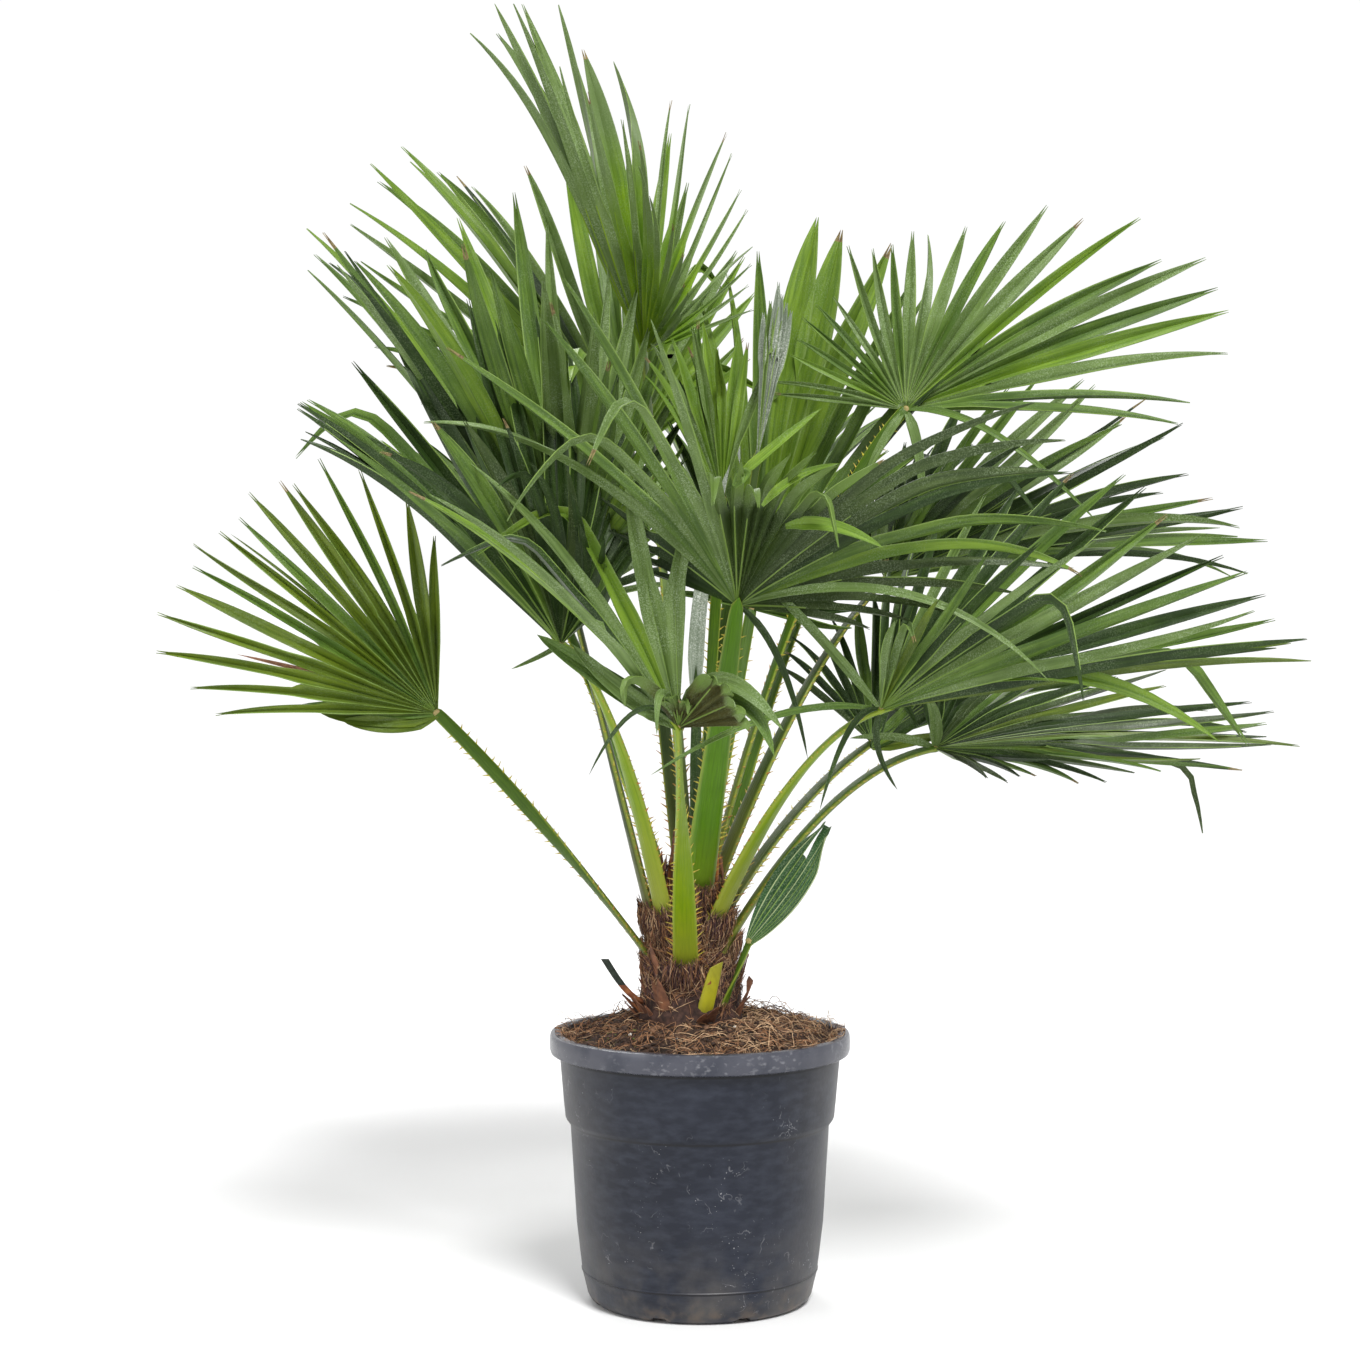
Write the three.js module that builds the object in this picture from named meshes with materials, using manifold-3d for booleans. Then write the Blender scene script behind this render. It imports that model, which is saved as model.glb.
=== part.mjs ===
// A potted European fan palm: nursery pot, potting soil, fibrous trunk, spiny stalks and fan-shaped
// leaf blades. Millimetres, +Z up, the origin is the centre of the pot's flat underside.
import * as THREE from "three";
import Module from "manifold-3d";
import { mergeVertices } from "three/addons/utils/BufferGeometryUtils.js";

const wasm = await Module();
wasm.setup();

// Clearances
const SEAT_GAP = 0.3;
const OVERLAP_LIMIT = 0.001;

// Pot: a container of about 15 litres with a rolled rim, a collar and a stepped wall
const POT_SIDES = 36;
const POT_WALL = 3;
const POT_FLOOR = 4;
const POT_OUTLINE = [
  [101, 0],
  [108, 2],
  [113, 8],
  [118, 30],
  [124, 80],
  [130.5, 180],
  [135.5, 186],
  [141, 250],
  [149.5, 251],
  [151, 256],
  [150.5, 269],
  [148.5, 271],
];
const POT_MOUTH_RADIUS = 138;
const CAVITY_HEIGHTS = [POT_FLOOR, 30, 80, 180, 186, 250];
const NOTCH_COUNT = 8;
const NOTCH_WIDTH = 17;
const NOTCH_HEIGHT = 5;
const NOTCH_INNER_RADIUS = 92;

// Soil: a low mound that reaches the wall all round and is flat under the trunk
const SOIL_SIDES = POT_SIDES;
const SOIL_BOTTOM = POT_FLOOR + SEAT_GAP;
const SOIL_EDGE_HEIGHT = 263;
const SOIL_PLATEAU = 284;
const SOIL_PLATEAU_RADIUS = 74;
const SOIL_SHOULDER_SHARE = 0.8;
const SOIL_SHOULDER_RISE = 12;
const SOIL_CLEARANCE = SEAT_GAP * 1.5;

// Trunk: short, covered in fibre, with a dome of leaf sheaths on top
const TRUNK_SIDES = 20;
const TRUNK_X = -10;
const TRUNK_Y = 2;
const TRUNK_FOOT = SOIL_PLATEAU + SEAT_GAP;
const TRUNK_PROFILE = [
  [56, TRUNK_FOOT],
  [53, 300],
  [51, 330],
  [48, 358],
  [44, 381],
  [36, 402],
  [25, 420],
  [13, 434],
];
const TRUNK_TOP = 440;
const TRUNK_BUMP = 0.035;
const TRUNK_BUMP_COUNT = 5;
const TRUNK_BUMP_PITCH = 12;

// Stalks: flat-oval section, wide at the foot and slim where the blade starts
const STALK_SIDES = 6;
const STALK_STEPS = 6;
const STALK_FLATNESS = 0.46;
const STALK_TAPER = 0.7;
const STALK_END_SHARE = 0.85;
const STALK_MIN_FLATNESS = 0.6;

// Knuckle where the stalk meets the blade: places along it and widths, as shares of its radius
const KNUCKLE_RADIUS = 6.9;
const KNUCKLE_START = 1.4;
const KNUCKLE_RINGS = [[-0.5, 0.86], [0.25, 0.968], [0.9, 0.43]];

// Blades: pleated to the web ring, free leaflets beyond it
const BLADE_INNER_RADIUS = 7.2;
const BLADE_THICKNESS = 4.4;
const INNER_THICKNESS = 2.6;
const TIP_THICKNESS = 3.2;
const WEB_SHARE = 0.38;
const FREE_RING = 0.62;
const LEAFLET_HALF_WIDTH = 11.5;
const LEAFLET_RING_SHARE = 0.85;
const LEAFLET_VEE = THREE.MathUtils.degToRad(35);
const LEAFLET_ROOM = 0.42;
const GATHER = 1.15;
const FULL_SIZE_LENGTH = 350;
const MAX_PLEAT = 8;
const FOLD_RUN = 40;
const LENGTH_SCATTER = 0.05;
const BEND_SCATTER = 0.05;

// A leaflet that would touch a neighbour is bent aside by these slopes, then shortened by these shares
const BEND_TRIES = [0, 0.08, -0.08, 0.16, -0.16, 0.26, -0.26, 0.38, -0.38];
const LENGTH_TRIES = [1, 0.85, 0.7, 0.56, 0.46];

// One row for each leaf. foot and hub are the ends of the stalk, lift raises the middle of it, wide is
// its width at the foot. aim is the middle rib's direction and face the upper side's. spread is the
// range of leaflet angles either side of the rib, fold how far each half rises, taper the share, angle
// and power by which leaflets shorten towards the sides, and sag the droop at full length. web is the
// share of a leaflet that is joined to its neighbours, slender narrows the leaflets, and slack shortens
// those past an angle, by one share there and another at the edge of the blade.
const LEAVES = [
  {
    name: "g", foot: [-4, -18, 405], hub: [33, -220, 703], lift: 0, wide: 34, aim: [0.12, -0.66, 0.74],
    face: [0, 0.8, 0.6], spread: [-95, 105], fold: [30, 15], count: 22, length: 360,
    taper: [0.3, 90, 6], sag: 0.18, web: 0.34, slender: 0.9,
  },
  {
    name: "j", foot: [14, -26, 384], hub: [170, -160, 603], lift: 80, wide: 25, aim: [0.98, -0.1, 0.23],
    face: [-0.2, -0.2, 0.95], spread: [-80, 80], fold: [50, 50], count: 16, length: 394,
    taper: [0.35, 58, 3], sag: 0.06,
  },
  {
    name: "d", foot: [-34, -26, 384], hub: [-134, -120, 664], lift: 112, wide: 25, aim: [-0.66, -0.15, 0.73],
    face: [0.7, -0.3, 0.7], spread: [-85, 85], fold: [60, 60], count: 22, length: 342,
    taper: [0.3, 70, 3], sag: 0.06,
  },
  {
    name: "e", foot: [-14, -36, 336], hub: [-21, -230, 590], lift: 0, wide: 26, aim: [-0.6, -0.2, 0.8],
    face: [0.8, -0.2, 0.55], spread: [-42, 110], fold: [60, 60], count: 14, length: 330,
    taper: [0.3, 75, 2], sag: 0.12, slack: [16, 0.45, 0.95],
  },
  {
    name: "a", foot: [-10, 17, 431], hub: [-56, 60, 955], lift: 0, wide: 14, aim: [-0.35, 0.05, 0.93],
    face: [0.85, -0.35, 0.36], spread: [-90, 90], fold: [50, 50], count: 22, length: 378,
    taper: [0.3, 58, 2], sag: 0.02, web: 0.32,
  },
  {
    name: "h", foot: [10, 2, 426], hub: [209, 60, 897], lift: 130, wide: 15, aim: [0.9, 0.05, 0.44],
    face: [0, -1, 0.3], spread: [-34, 148], fold: [30, 5], count: 24, length: 330,
    taper: [0.5, 36, 2], sag: 0.06, web: 0.3,
  },
  {
    name: "f", foot: [-44, -6, 336], hub: [-258, -60, 594], lift: 20, wide: 16, aim: [-0.75, -0.1, 0.66],
    face: [0, -1, 0.2], spread: [-51, 41], fold: [10, 10], count: 18, length: 288,
    taper: [0.5, 45, 4], sag: 0.04, web: 0.24, slender: 0.75,
  },
  {
    name: "c", foot: [-49, -2, 392], hub: [-129, -20, 715], lift: 0, wide: 24, aim: [-0.54, -0.05, 0.82],
    face: [0.78, -0.25, 0.6], spread: [-80, 80], fold: [60, 60], count: 22, length: 430,
    taper: [0.3, 64, 3], sag: 0.05,
  },
  {
    name: "k", foot: [26, -14, 362], hub: [237, 20, 555], lift: 80, wide: 22, aim: [0.95, 0.1, 0.11],
    face: [0, -0.3, 0.9], spread: [-80, 86], fold: [10, 10], count: 20, length: 345,
    taper: [0.35, 42, 2], sag: 0.08,
  },
  {
    name: "b", foot: [-18, 24, 418], hub: [-71, 200, 858], lift: 10, wide: 16, aim: [-0.53, 0.1, 0.82],
    face: [0.75, -0.2, 0.6], spread: [-85, 75], fold: [60, -25], count: 20, length: 378,
    taper: [0.35, 66, 3], sag: 0.05,
  },
  {
    name: "i", foot: [12, 18, 410], hub: [195, 150, 725], lift: 70, wide: 22, aim: [0.98, 0.1, 0.21],
    face: [-0.1, -0.2, 1], spread: [-100, 100], fold: [50, 50], count: 22, length: 380,
    taper: [0.35, 66, 3], sag: 0.06,
  },
  {
    name: "o", foot: [4, 18, 424], hub: [54, 112, 693], lift: 0, wide: 14, aim: [0.22, 0.1, 0.95],
    face: [0.1, -0.9, 0.3], spread: [-95, 95], fold: [40, 40], count: 20, length: 405,
    taper: [0.3, 45, 2], sag: 0.04,
  },
  {
    name: "n", foot: [0, 8, 434], hub: [22, 14, 805], lift: 0, wide: 12, aim: [-0.15, 0.05, 1],
    face: [0.2, -0.9, 0.2], spread: [-28, 28], fold: [30, 30], count: 8, length: 180,
    taper: [0.6, 30, 2], sag: 0,
  },
  {
    name: "l", foot: [18, 6, 380], hub: [183, 170, 551], lift: 40, wide: 18, aim: [0.75, 0.55, 0.3],
    face: [-0.4, -0.4, 0.8], spread: [-100, 100], fold: [40, 40], count: 20, length: 320,
    taper: [0.4, 60, 2], sag: 0.06,
  },
  {
    name: "p", foot: [-30, 24, 395], hub: [-150, 230, 690], lift: 30, wide: 18, aim: [-0.5, 0.6, 0.6],
    face: [0.4, -0.4, 0.8], spread: [-110, 110], fold: [40, 40], count: 20, length: 310,
    taper: [0.4, 70, 2], sag: 0.06,
  },
  {
    name: "q", foot: [-8, 26, 405], hub: [40, 300, 740], lift: 40, wide: 18, aim: [0.1, 0.8, 0.6],
    face: [0, -0.5, 0.8], spread: [-110, 110], fold: [35, 35], count: 20, length: 330,
    taper: [0.4, 70, 2], sag: 0.06,
  },
  {
    name: "r", foot: [8, 28, 385], hub: [120, 330, 700], lift: 40, wide: 18, aim: [0.4, 0.8, 0.4],
    face: [-0.3, -0.3, 0.9], spread: [-110, 110], fold: [35, 35], count: 20, length: 330,
    taper: [0.4, 70, 2], sag: 0.06,
  },
  {
    name: "spear", foot: [-6, -5, 432], hub: [57, 0, 845], lift: 0, wide: 9, aim: [0.14, 0.02, 1],
    face: [0.3, -0.9, 0], spread: [-7, 7], fold: [0, 0], count: 4, length: 172,
    taper: [0.7, 9, 2], sag: 0, web: 0.6,
  },
  {
    name: "young", foot: [20, -34, 294], hub: [48, -56, 368], lift: 0, wide: 9, aim: [0.56, -0.1, 0.82],
    face: [-0.6, -0.7, 0.3], spread: [-15, 15], fold: [20, 20], count: 6, length: 142,
    taper: [0.6, 16, 2], sag: 0.02, web: 0.72,
  },
];

// Old leaf bases left on the foot of the trunk, with the places along them and the width shares there
const STUB_FLATNESS = 0.5;
const STUB_SECTIONS = [[0, 1], [0.6, 0.95], [1, 0.8]];
const STUBS = [
  { name: "stub_cut", foot: [0, -38, 304], tip: [16, -60, 346], wide: 15, colour: 0x9bb83a },
  { name: "stub_left", foot: [-48, -8, 296], tip: [-95, -18, 346], wide: 8, colour: 0x6b5a38 },
];

const COLOURS = {
  pot: 0x3c4248,
  soil: 0x4a3428,
  trunk: 0x5a4030,
  stalk: 0x6d9a35,
  blade: 0x3f6b33,
  spear: 0xb9c2a6,
};

const model = new THREE.Group();

const vector = (values) => new THREE.Vector3(...values);

const wave = (seed) => {
  const value = Math.sin(seed * 12.9898) * 43758.5453;
  return (value - Math.floor(value)) * 2 - 1;
};

function addMesh(name, geometry, colour, roughness) {
  const material = new THREE.MeshStandardMaterial({ color: colour, roughness, metalness: 0 });
  const mesh = new THREE.Mesh(geometry, material);
  mesh.name = name;
  model.add(mesh);
}

function indexedGeometry(points, faces) {
  const geometry = new THREE.BufferGeometry();
  geometry.setAttribute("position", new THREE.Float32BufferAttribute(points.flatMap((p) => p.toArray()), 3));
  geometry.setIndex(faces.flat());
  return geometry;
}

function solidOf(geometry) {
  const bare = geometry.clone();
  bare.deleteAttribute("normal");
  bare.deleteAttribute("uv");
  const merged = mergeVertices(bare, 1e-4);
  const corners = Array.from(merged.index.array);
  const triangles = [];
  for (let i = 0; i < corners.length; i += 3) {
    const [a, b, c] = corners.slice(i, i + 3);
    if (a !== b && b !== c && c !== a) triangles.push(a, b, c);
  }
  const mesh = new wasm.Mesh({
    numProp: 3,
    vertProperties: new Float32Array(merged.attributes.position.array),
    triVerts: new Uint32Array(triangles),
  });
  return new wasm.Manifold(mesh);
}

function geometryOf(solid) {
  const mesh = solid.getMesh();
  const geometry = new THREE.BufferGeometry();
  geometry.setAttribute("position", new THREE.Float32BufferAttribute(mesh.vertProperties, 3));
  geometry.setIndex(Array.from(mesh.triVerts));
  return geometry;
}

function boxesMeet(first, second) {
  const a = first.boundingBox();
  const b = second.boundingBox();
  return [0, 1, 2].every((axis) => a.min[axis] < b.max[axis] && b.min[axis] < a.max[axis]);
}

function touches(solid, other) {
  return boxesMeet(solid, other) && solid.intersect(other).volume() > OVERLAP_LIMIT;
}

// Turned bodies: a lathe about Y is laid over so that its axis is Z
function turned(outline, sides) {
  const profile = outline.map(([radius, height]) => new THREE.Vector2(radius, height));
  const geometry = new THREE.LatheGeometry(profile, sides);
  geometry.rotateX(Math.PI / 2);
  return geometry;
}

function wallInnerRadius(height) {
  for (let i = 1; i < POT_OUTLINE.length; i += 1) {
    const [lowRadius, low] = POT_OUTLINE[i - 1];
    const [highRadius, high] = POT_OUTLINE[i];
    if (height <= high) {
      const share = (height - low) / (high - low);
      return Math.min(POT_MOUTH_RADIUS, lowRadius + (highRadius - lowRadius) * share - POT_WALL);
    }
  }
  return POT_MOUTH_RADIUS;
}

const CAVITY_OUTLINE = CAVITY_HEIGHTS.map((height) => [wallInnerRadius(height), height]);

function makePot() {
  const rimTop = POT_OUTLINE[POT_OUTLINE.length - 1][1];
  const inside = [...CAVITY_OUTLINE, [POT_MOUTH_RADIUS, rimTop]].reverse();
  const shell = turned([[0, 0], ...POT_OUTLINE, ...inside, [0, POT_FLOOR]], POT_SIDES);
  let pot = solidOf(shell);
  const length = POT_OUTLINE[3][0] - NOTCH_INNER_RADIUS;
  for (let i = 0; i < NOTCH_COUNT; i += 1) {
    const notch = new THREE.BoxGeometry(length, NOTCH_WIDTH, NOTCH_HEIGHT * 2);
    notch.translate(NOTCH_INNER_RADIUS + length / 2, 0, 0);
    notch.rotateZ(((i + 0.5) / NOTCH_COUNT) * Math.PI * 2);
    pot = pot.subtract(solidOf(notch));
  }
  return pot;
}

function makeSoil() {
  const side = CAVITY_OUTLINE.map(([radius, height]) => [radius - SOIL_CLEARANCE, height]);
  side[0][1] = SOIL_BOTTOM;
  const edgeRadius = POT_MOUTH_RADIUS - SOIL_CLEARANCE;
  const top = [
    [edgeRadius, SOIL_EDGE_HEIGHT],
    [edgeRadius * SOIL_SHOULDER_SHARE, SOIL_EDGE_HEIGHT + SOIL_SHOULDER_RISE],
    [SOIL_PLATEAU_RADIUS, SOIL_PLATEAU],
  ];
  return turned([[0, SOIL_BOTTOM], ...side, ...top, [0, SOIL_PLATEAU]], SOIL_SIDES);
}

// grow widens the trunk for cutting what is seated on it
function makeTrunk(grow) {
  const outline = TRUNK_PROFILE.map(([radius, height]) => [radius + grow, height]);
  outline[0][1] -= grow * 2;
  const closed = [[0, outline[0][1]], ...outline, [0, TRUNK_TOP + grow]];
  const geometry = turned(closed, TRUNK_SIDES);
  const position = geometry.attributes.position;
  for (let i = 0; i < position.count; i += 1) {
    const x = position.getX(i);
    const y = position.getY(i);
    const angle = Math.atan2(y, x);
    const swell = 1 + TRUNK_BUMP * Math.sin(TRUNK_BUMP_COUNT * angle + position.getZ(i) / TRUNK_BUMP_PITCH);
    position.setX(i, x * swell + TRUNK_X);
    position.setY(i, y * swell + TRUNK_Y);
  }
  return geometry;
}

// A tapering limb along a curve, with a flat-oval section whose wide way is across
function makeLimb(stations) {
  const points = [];
  const faces = [];
  stations.forEach(({ at, along, across, halfWide, halfHigh }) => {
    const wide = across.clone().addScaledVector(along, -across.dot(along)).normalize();
    const high = along.clone().cross(wide);
    for (let k = 0; k < STALK_SIDES; k += 1) {
      const angle = (k / STALK_SIDES) * Math.PI * 2;
      points.push(at.clone()
        .addScaledVector(wide, Math.cos(angle) * halfWide)
        .addScaledVector(high, Math.sin(angle) * halfHigh));
    }
  });
  for (let row = 0; row + 1 < stations.length; row += 1) {
    for (let k = 0; k < STALK_SIDES; k += 1) {
      const next = (k + 1) % STALK_SIDES;
      const low = row * STALK_SIDES;
      const high = low + STALK_SIDES;
      faces.push([low + k, low + next, high + next], [low + k, high + next, high + k]);
    }
  }
  const last = (stations.length - 1) * STALK_SIDES;
  for (let k = 1; k + 1 < STALK_SIDES; k += 1) {
    faces.push([0, k + 1, k], [last, last + k, last + k + 1]);
  }
  return indexedGeometry(points, faces);
}

function fanOf(leaf) {
  const aim = vector(leaf.aim).normalize();
  const face = vector(leaf.face).addScaledVector(aim, -vector(leaf.face).dot(aim)).normalize();
  const across = face.clone().cross(aim);
  return {
    ...leaf, hub: vector(leaf.hub), aim, face, across, web: leaf.web ?? WEB_SHARE,
    leafletHalf: LEAFLET_HALF_WIDTH * (leaf.slender ?? 1),
  };
}

// The angle at a place along the blade's row of leaflets, which stand closer beside the middle rib
function anglePast(fan, place) {
  const [first, last] = fan.spread;
  const even = first + ((last - first) * place) / fan.count;
  const limit = even < 0 ? first : last;
  return limit * Math.abs(even / limit) ** GATHER;
}

function stalkCurve(fan) {
  const foot = vector(fan.foot);
  const middle = foot.clone().add(fan.hub).multiplyScalar(0.5);
  middle.z += fan.lift;
  return new THREE.QuadraticBezierCurve3(foot, middle, fan.hub);
}

function makeStalk(fan) {
  const curve = stalkCurve(fan);
  const end = 1 - (KNUCKLE_RADIUS * KNUCKLE_START) / curve.getLength();
  const outward = fan.hub.clone().sub(vector([TRUNK_X, TRUNK_Y, 0])).setZ(0).normalize();
  const footAcross = new THREE.Vector3(-outward.y, outward.x, 0);
  if (footAcross.dot(fan.across) < 0) footAcross.negate();
  const slim = Math.min(KNUCKLE_RADIUS * STALK_END_SHARE, fan.wide * 0.45);
  const stations = [];
  for (let i = 0; i <= STALK_STEPS; i += 1) {
    const t = (i / STALK_STEPS) * end;
    const halfWide = slim + (fan.wide / 2 - slim) * (1 - i / STALK_STEPS) ** STALK_TAPER;
    stations.push({
      at: curve.getPoint(t),
      along: curve.getTangent(t),
      across: footAcross.clone().lerp(fan.across, t),
      halfWide,
      halfHigh: Math.max(halfWide * STALK_FLATNESS, slim * STALK_MIN_FLATNESS),
    });
  }
  const along = curve.getTangent(1);
  KNUCKLE_RINGS.forEach(([step, share]) => {
    stations.push({
      at: fan.hub.clone().addScaledVector(along, step * KNUCKLE_RADIUS),
      along,
      across: fan.across,
      halfWide: KNUCKLE_RADIUS * share,
      halfHigh: KNUCKLE_RADIUS * share,
    });
  });
  return makeLimb(stations);
}

function makeStub(stub) {
  const foot = vector(stub.foot);
  const tip = vector(stub.tip);
  const along = tip.clone().sub(foot).normalize();
  const across = new THREE.Vector3(1, 0, 0);
  return makeLimb(STUB_SECTIONS.map(([place, share]) => ({
    at: foot.clone().lerp(tip, place),
    along,
    across,
    halfWide: (stub.wide / 2) * share,
    halfHigh: (stub.wide / 2) * share * STUB_FLATNESS,
  })));
}

function rayOf(fan, degrees) {
  const angle = THREE.MathUtils.degToRad(degrees);
  const side = Math.sign(degrees) || 1;
  const full = side < 0 ? fan.fold[0] : fan.fold[1];
  const fold = THREE.MathUtils.degToRad(full) * THREE.MathUtils.smoothstep(Math.abs(degrees), 0, FOLD_RUN);
  return fan.aim.clone().multiplyScalar(Math.cos(angle))
    .addScaledVector(fan.across, Math.sin(angle) * Math.cos(fold))
    .addScaledVector(fan.face, Math.abs(Math.sin(angle)) * Math.sin(fold));
}

function frameOf(fan, degrees) {
  const ray = rayOf(fan, degrees);
  const sideways = rayOf(fan, degrees + 0.5).sub(rayOf(fan, degrees - 0.5));
  const up = ray.clone().cross(sideways).normalize();
  return { ray, up, sideways: up.clone().cross(ray) };
}

function reachOf(fan, degrees) {
  const [share, width, power] = fan.taper;
  const reach = fan.length * (share + (1 - share) * Math.exp(-((Math.abs(degrees) / width) ** power)));
  if (!fan.slack || degrees <= fan.slack[0]) return reach;
  const [from, least, most] = fan.slack;
  return reach * THREE.MathUtils.mapLinear(degrees, from, fan.spread[1], least, most);
}

// A pair of points, upper and lower face, on the blade
function bladePair(fan, degrees, radius, rise, sideShift, thickness) {
  const { ray, up, sideways } = frameOf(fan, degrees);
  const middle = fan.hub.clone()
    .addScaledVector(ray, radius)
    .addScaledVector(up, rise)
    .addScaledVector(sideways, sideShift);
  middle.z -= (fan.sag * radius * radius) / fan.length;
  return [
    middle.clone().addScaledVector(up, thickness / 2),
    middle.clone().addScaledVector(up, -thickness / 2),
  ];
}

function pleatRise(fan, degrees) {
  const step = THREE.MathUtils.degToRad((fan.spread[1] - fan.spread[0]) / fan.count);
  const reach = reachOf(fan, degrees);
  const halfStep = (reach * fan.web * step) / 2;
  const halfWidth = fan.leafletHalf * Math.sqrt(reach / FULL_SIZE_LENGTH);
  return Math.min(MAX_PLEAT, Math.sqrt(Math.max(0, halfWidth ** 2 - halfStep ** 2))) / 2;
}

function edgePair(fan, index, thickness) {
  const degrees = anglePast(fan, index);
  return bladePair(fan, degrees, reachOf(fan, degrees) * fan.web, pleatRise(fan, degrees), 0, thickness);
}

// The free part of one leaflet: its middle, its two edges at half way, and its tip
function leafletRings(fan, index, bend, share, grow) {
  const degrees = anglePast(fan, index + 0.5);
  const step = THREE.MathUtils.degToRad(anglePast(fan, index + 1) - anglePast(fan, index));
  const seed = index + fan.name.charCodeAt(0) * 7;
  const reach = reachOf(fan, degrees) * share * (1 + LENGTH_SCATTER * wave(seed));
  const webRadius = reachOf(fan, degrees) * fan.web;
  const ringRadius = webRadius + (reach - webRadius) * FREE_RING;
  const slope = bend + BEND_SCATTER * wave(seed + 100);
  const halfWidth = fan.leafletHalf * LEAFLET_RING_SHARE * Math.sqrt(reach / FULL_SIZE_LENGTH);
  const halfSpan = Math.min(halfWidth * Math.cos(LEAFLET_VEE), ringRadius * step * LEAFLET_ROOM);
  const thickness = BLADE_THICKNESS + grow;
  const sideShift = halfSpan + grow / 2;
  const rise = Math.sqrt(halfWidth ** 2 - halfSpan ** 2) / 2;
  const ringRise = slope * (ringRadius - webRadius);
  return {
    middle: bladePair(fan, degrees, webRadius, -pleatRise(fan, degrees), 0, thickness),
    left: bladePair(fan, degrees, ringRadius, ringRise + rise, -sideShift, TIP_THICKNESS + grow),
    spine: bladePair(fan, degrees, ringRadius, ringRise - rise, 0, thickness),
    right: bladePair(fan, degrees, ringRadius, ringRise + rise, sideShift, TIP_THICKNESS + grow),
    tip: bladePair(fan, degrees, reach + grow, slope * (reach - webRadius), 0, 0)[0],
  };
}

// Collects points and triangles of one blade
class Sheet {
  constructor() {
    this.points = [];
    this.faces = [];
  }

  point(at) {
    this.points.push(at);
    return this.points.length - 1;
  }

  pair([upper, lower]) {
    return { up: this.point(upper), down: this.point(lower) };
  }

  // Upper and lower triangle through three pairs, counted anticlockwise from above
  skin(a, b, c) {
    this.faces.push([a.up, b.up, c.up], [a.down, c.down, b.down]);
  }

  // Edge wall from a to b, with the blade on its left
  wall(a, b) {
    this.faces.push([a.up, a.down, b.down], [a.up, b.down, b.up]);
  }

  leaflet(from, middle, to, rings) {
    const left = this.pair(rings.left);
    const spine = this.pair(rings.spine);
    const right = this.pair(rings.right);
    const tip = this.point(rings.tip);
    this.skin(from, left, spine);
    this.skin(from, spine, middle);
    this.skin(middle, spine, right);
    this.skin(middle, right, to);
    this.skin(left, { up: tip, down: tip }, spine);
    this.skin(spine, { up: tip, down: tip }, right);
    this.wall(from, left);
    this.faces.push([left.up, left.down, tip]);
    this.wall(right, to);
    this.faces.push([right.up, tip, right.down]);
  }

  geometry() {
    return indexedGeometry(this.points, this.faces);
  }
}

function leafletSolid(fan, index, bend, share) {
  const sheet = new Sheet();
  const grow = SEAT_GAP * 2;
  const rings = leafletRings(fan, index, bend, share, grow);
  const from = sheet.pair(edgePair(fan, index, BLADE_THICKNESS + grow));
  const middle = sheet.pair(rings.middle);
  const to = sheet.pair(edgePair(fan, index + 1, BLADE_THICKNESS + grow));
  sheet.leaflet(from, middle, to, rings);
  sheet.wall(to, middle);
  sheet.wall(middle, from);
  return solidOf(sheet.geometry());
}

function clearLeaflet(fan, index, placed) {
  for (const share of LENGTH_TRIES) {
    for (const bend of BEND_TRIES) {
      const solid = leafletSolid(fan, index, bend, share);
      if (!placed.some((other) => touches(solid, other))) return { bend, share };
    }
  }
  return { bend: 0, share: LENGTH_TRIES[LENGTH_TRIES.length - 1] };
}

function makeBlade(fan, placed) {
  const sheet = new Sheet();
  const inner = [];
  const edges = [];
  for (let i = 0; i <= fan.count; i += 1) {
    inner.push(sheet.pair(bladePair(fan, anglePast(fan, i), BLADE_INNER_RADIUS, 0, 0, INNER_THICKNESS)));
    edges.push(sheet.pair(edgePair(fan, i, BLADE_THICKNESS)));
  }
  for (let i = 0; i < fan.count; i += 1) {
    const { bend, share } = clearLeaflet(fan, i, placed);
    const rings = leafletRings(fan, i, bend, share, 0);
    const middle = sheet.pair(rings.middle);
    sheet.skin(inner[i], edges[i], middle);
    sheet.skin(inner[i], middle, inner[i + 1]);
    sheet.skin(inner[i + 1], middle, edges[i + 1]);
    sheet.wall(inner[i + 1], inner[i]);
    sheet.leaflet(edges[i], middle, edges[i + 1], rings);
  }
  sheet.wall(inner[0], edges[0]);
  sheet.wall(edges[fan.count], inner[fan.count]);
  return sheet.geometry();
}

const placed = [];
const pot = makePot();
addMesh("pot", geometryOf(pot), COLOURS.pot, 0.6);
placed.push(pot);

const soil = makeSoil();
addMesh("soil", soil, COLOURS.soil, 0.95);
placed.push(solidOf(soil));

const trunk = makeTrunk(0);
addMesh("trunk", trunk, COLOURS.trunk, 0.95);
const trunkCutter = solidOf(makeTrunk(SEAT_GAP));
placed.push(trunkCutter);

STUBS.forEach((stub) => {
  const solid = solidOf(makeStub(stub)).subtract(trunkCutter);
  addMesh(stub.name, geometryOf(solid), stub.colour, 0.8);
  placed.push(solid);
});

const fans = LEAVES.map(fanOf);
fans.forEach((fan) => {
  const solid = solidOf(makeStalk(fan)).subtract(trunkCutter);
  addMesh(`stalk_${fan.name}`, geometryOf(solid), COLOURS.stalk, 0.55);
  placed.push(solid);
});
fans.forEach((fan) => {
  const blade = makeBlade(fan, placed);
  addMesh(`blade_${fan.name}`, blade, fan.name === "spear" ? COLOURS.spear : COLOURS.blade, 0.7);
  placed.push(solidOf(blade));
});

export default model;
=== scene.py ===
"""Looks of a potted European fan palm.

A nursery pot, potting soil with loose roots, a fibrous trunk, toothed stalks and fan-shaped leaves.
Sizes are in millimetres while a piece is modelled, and in metres in the part's frame once it is done.
"""

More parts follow.
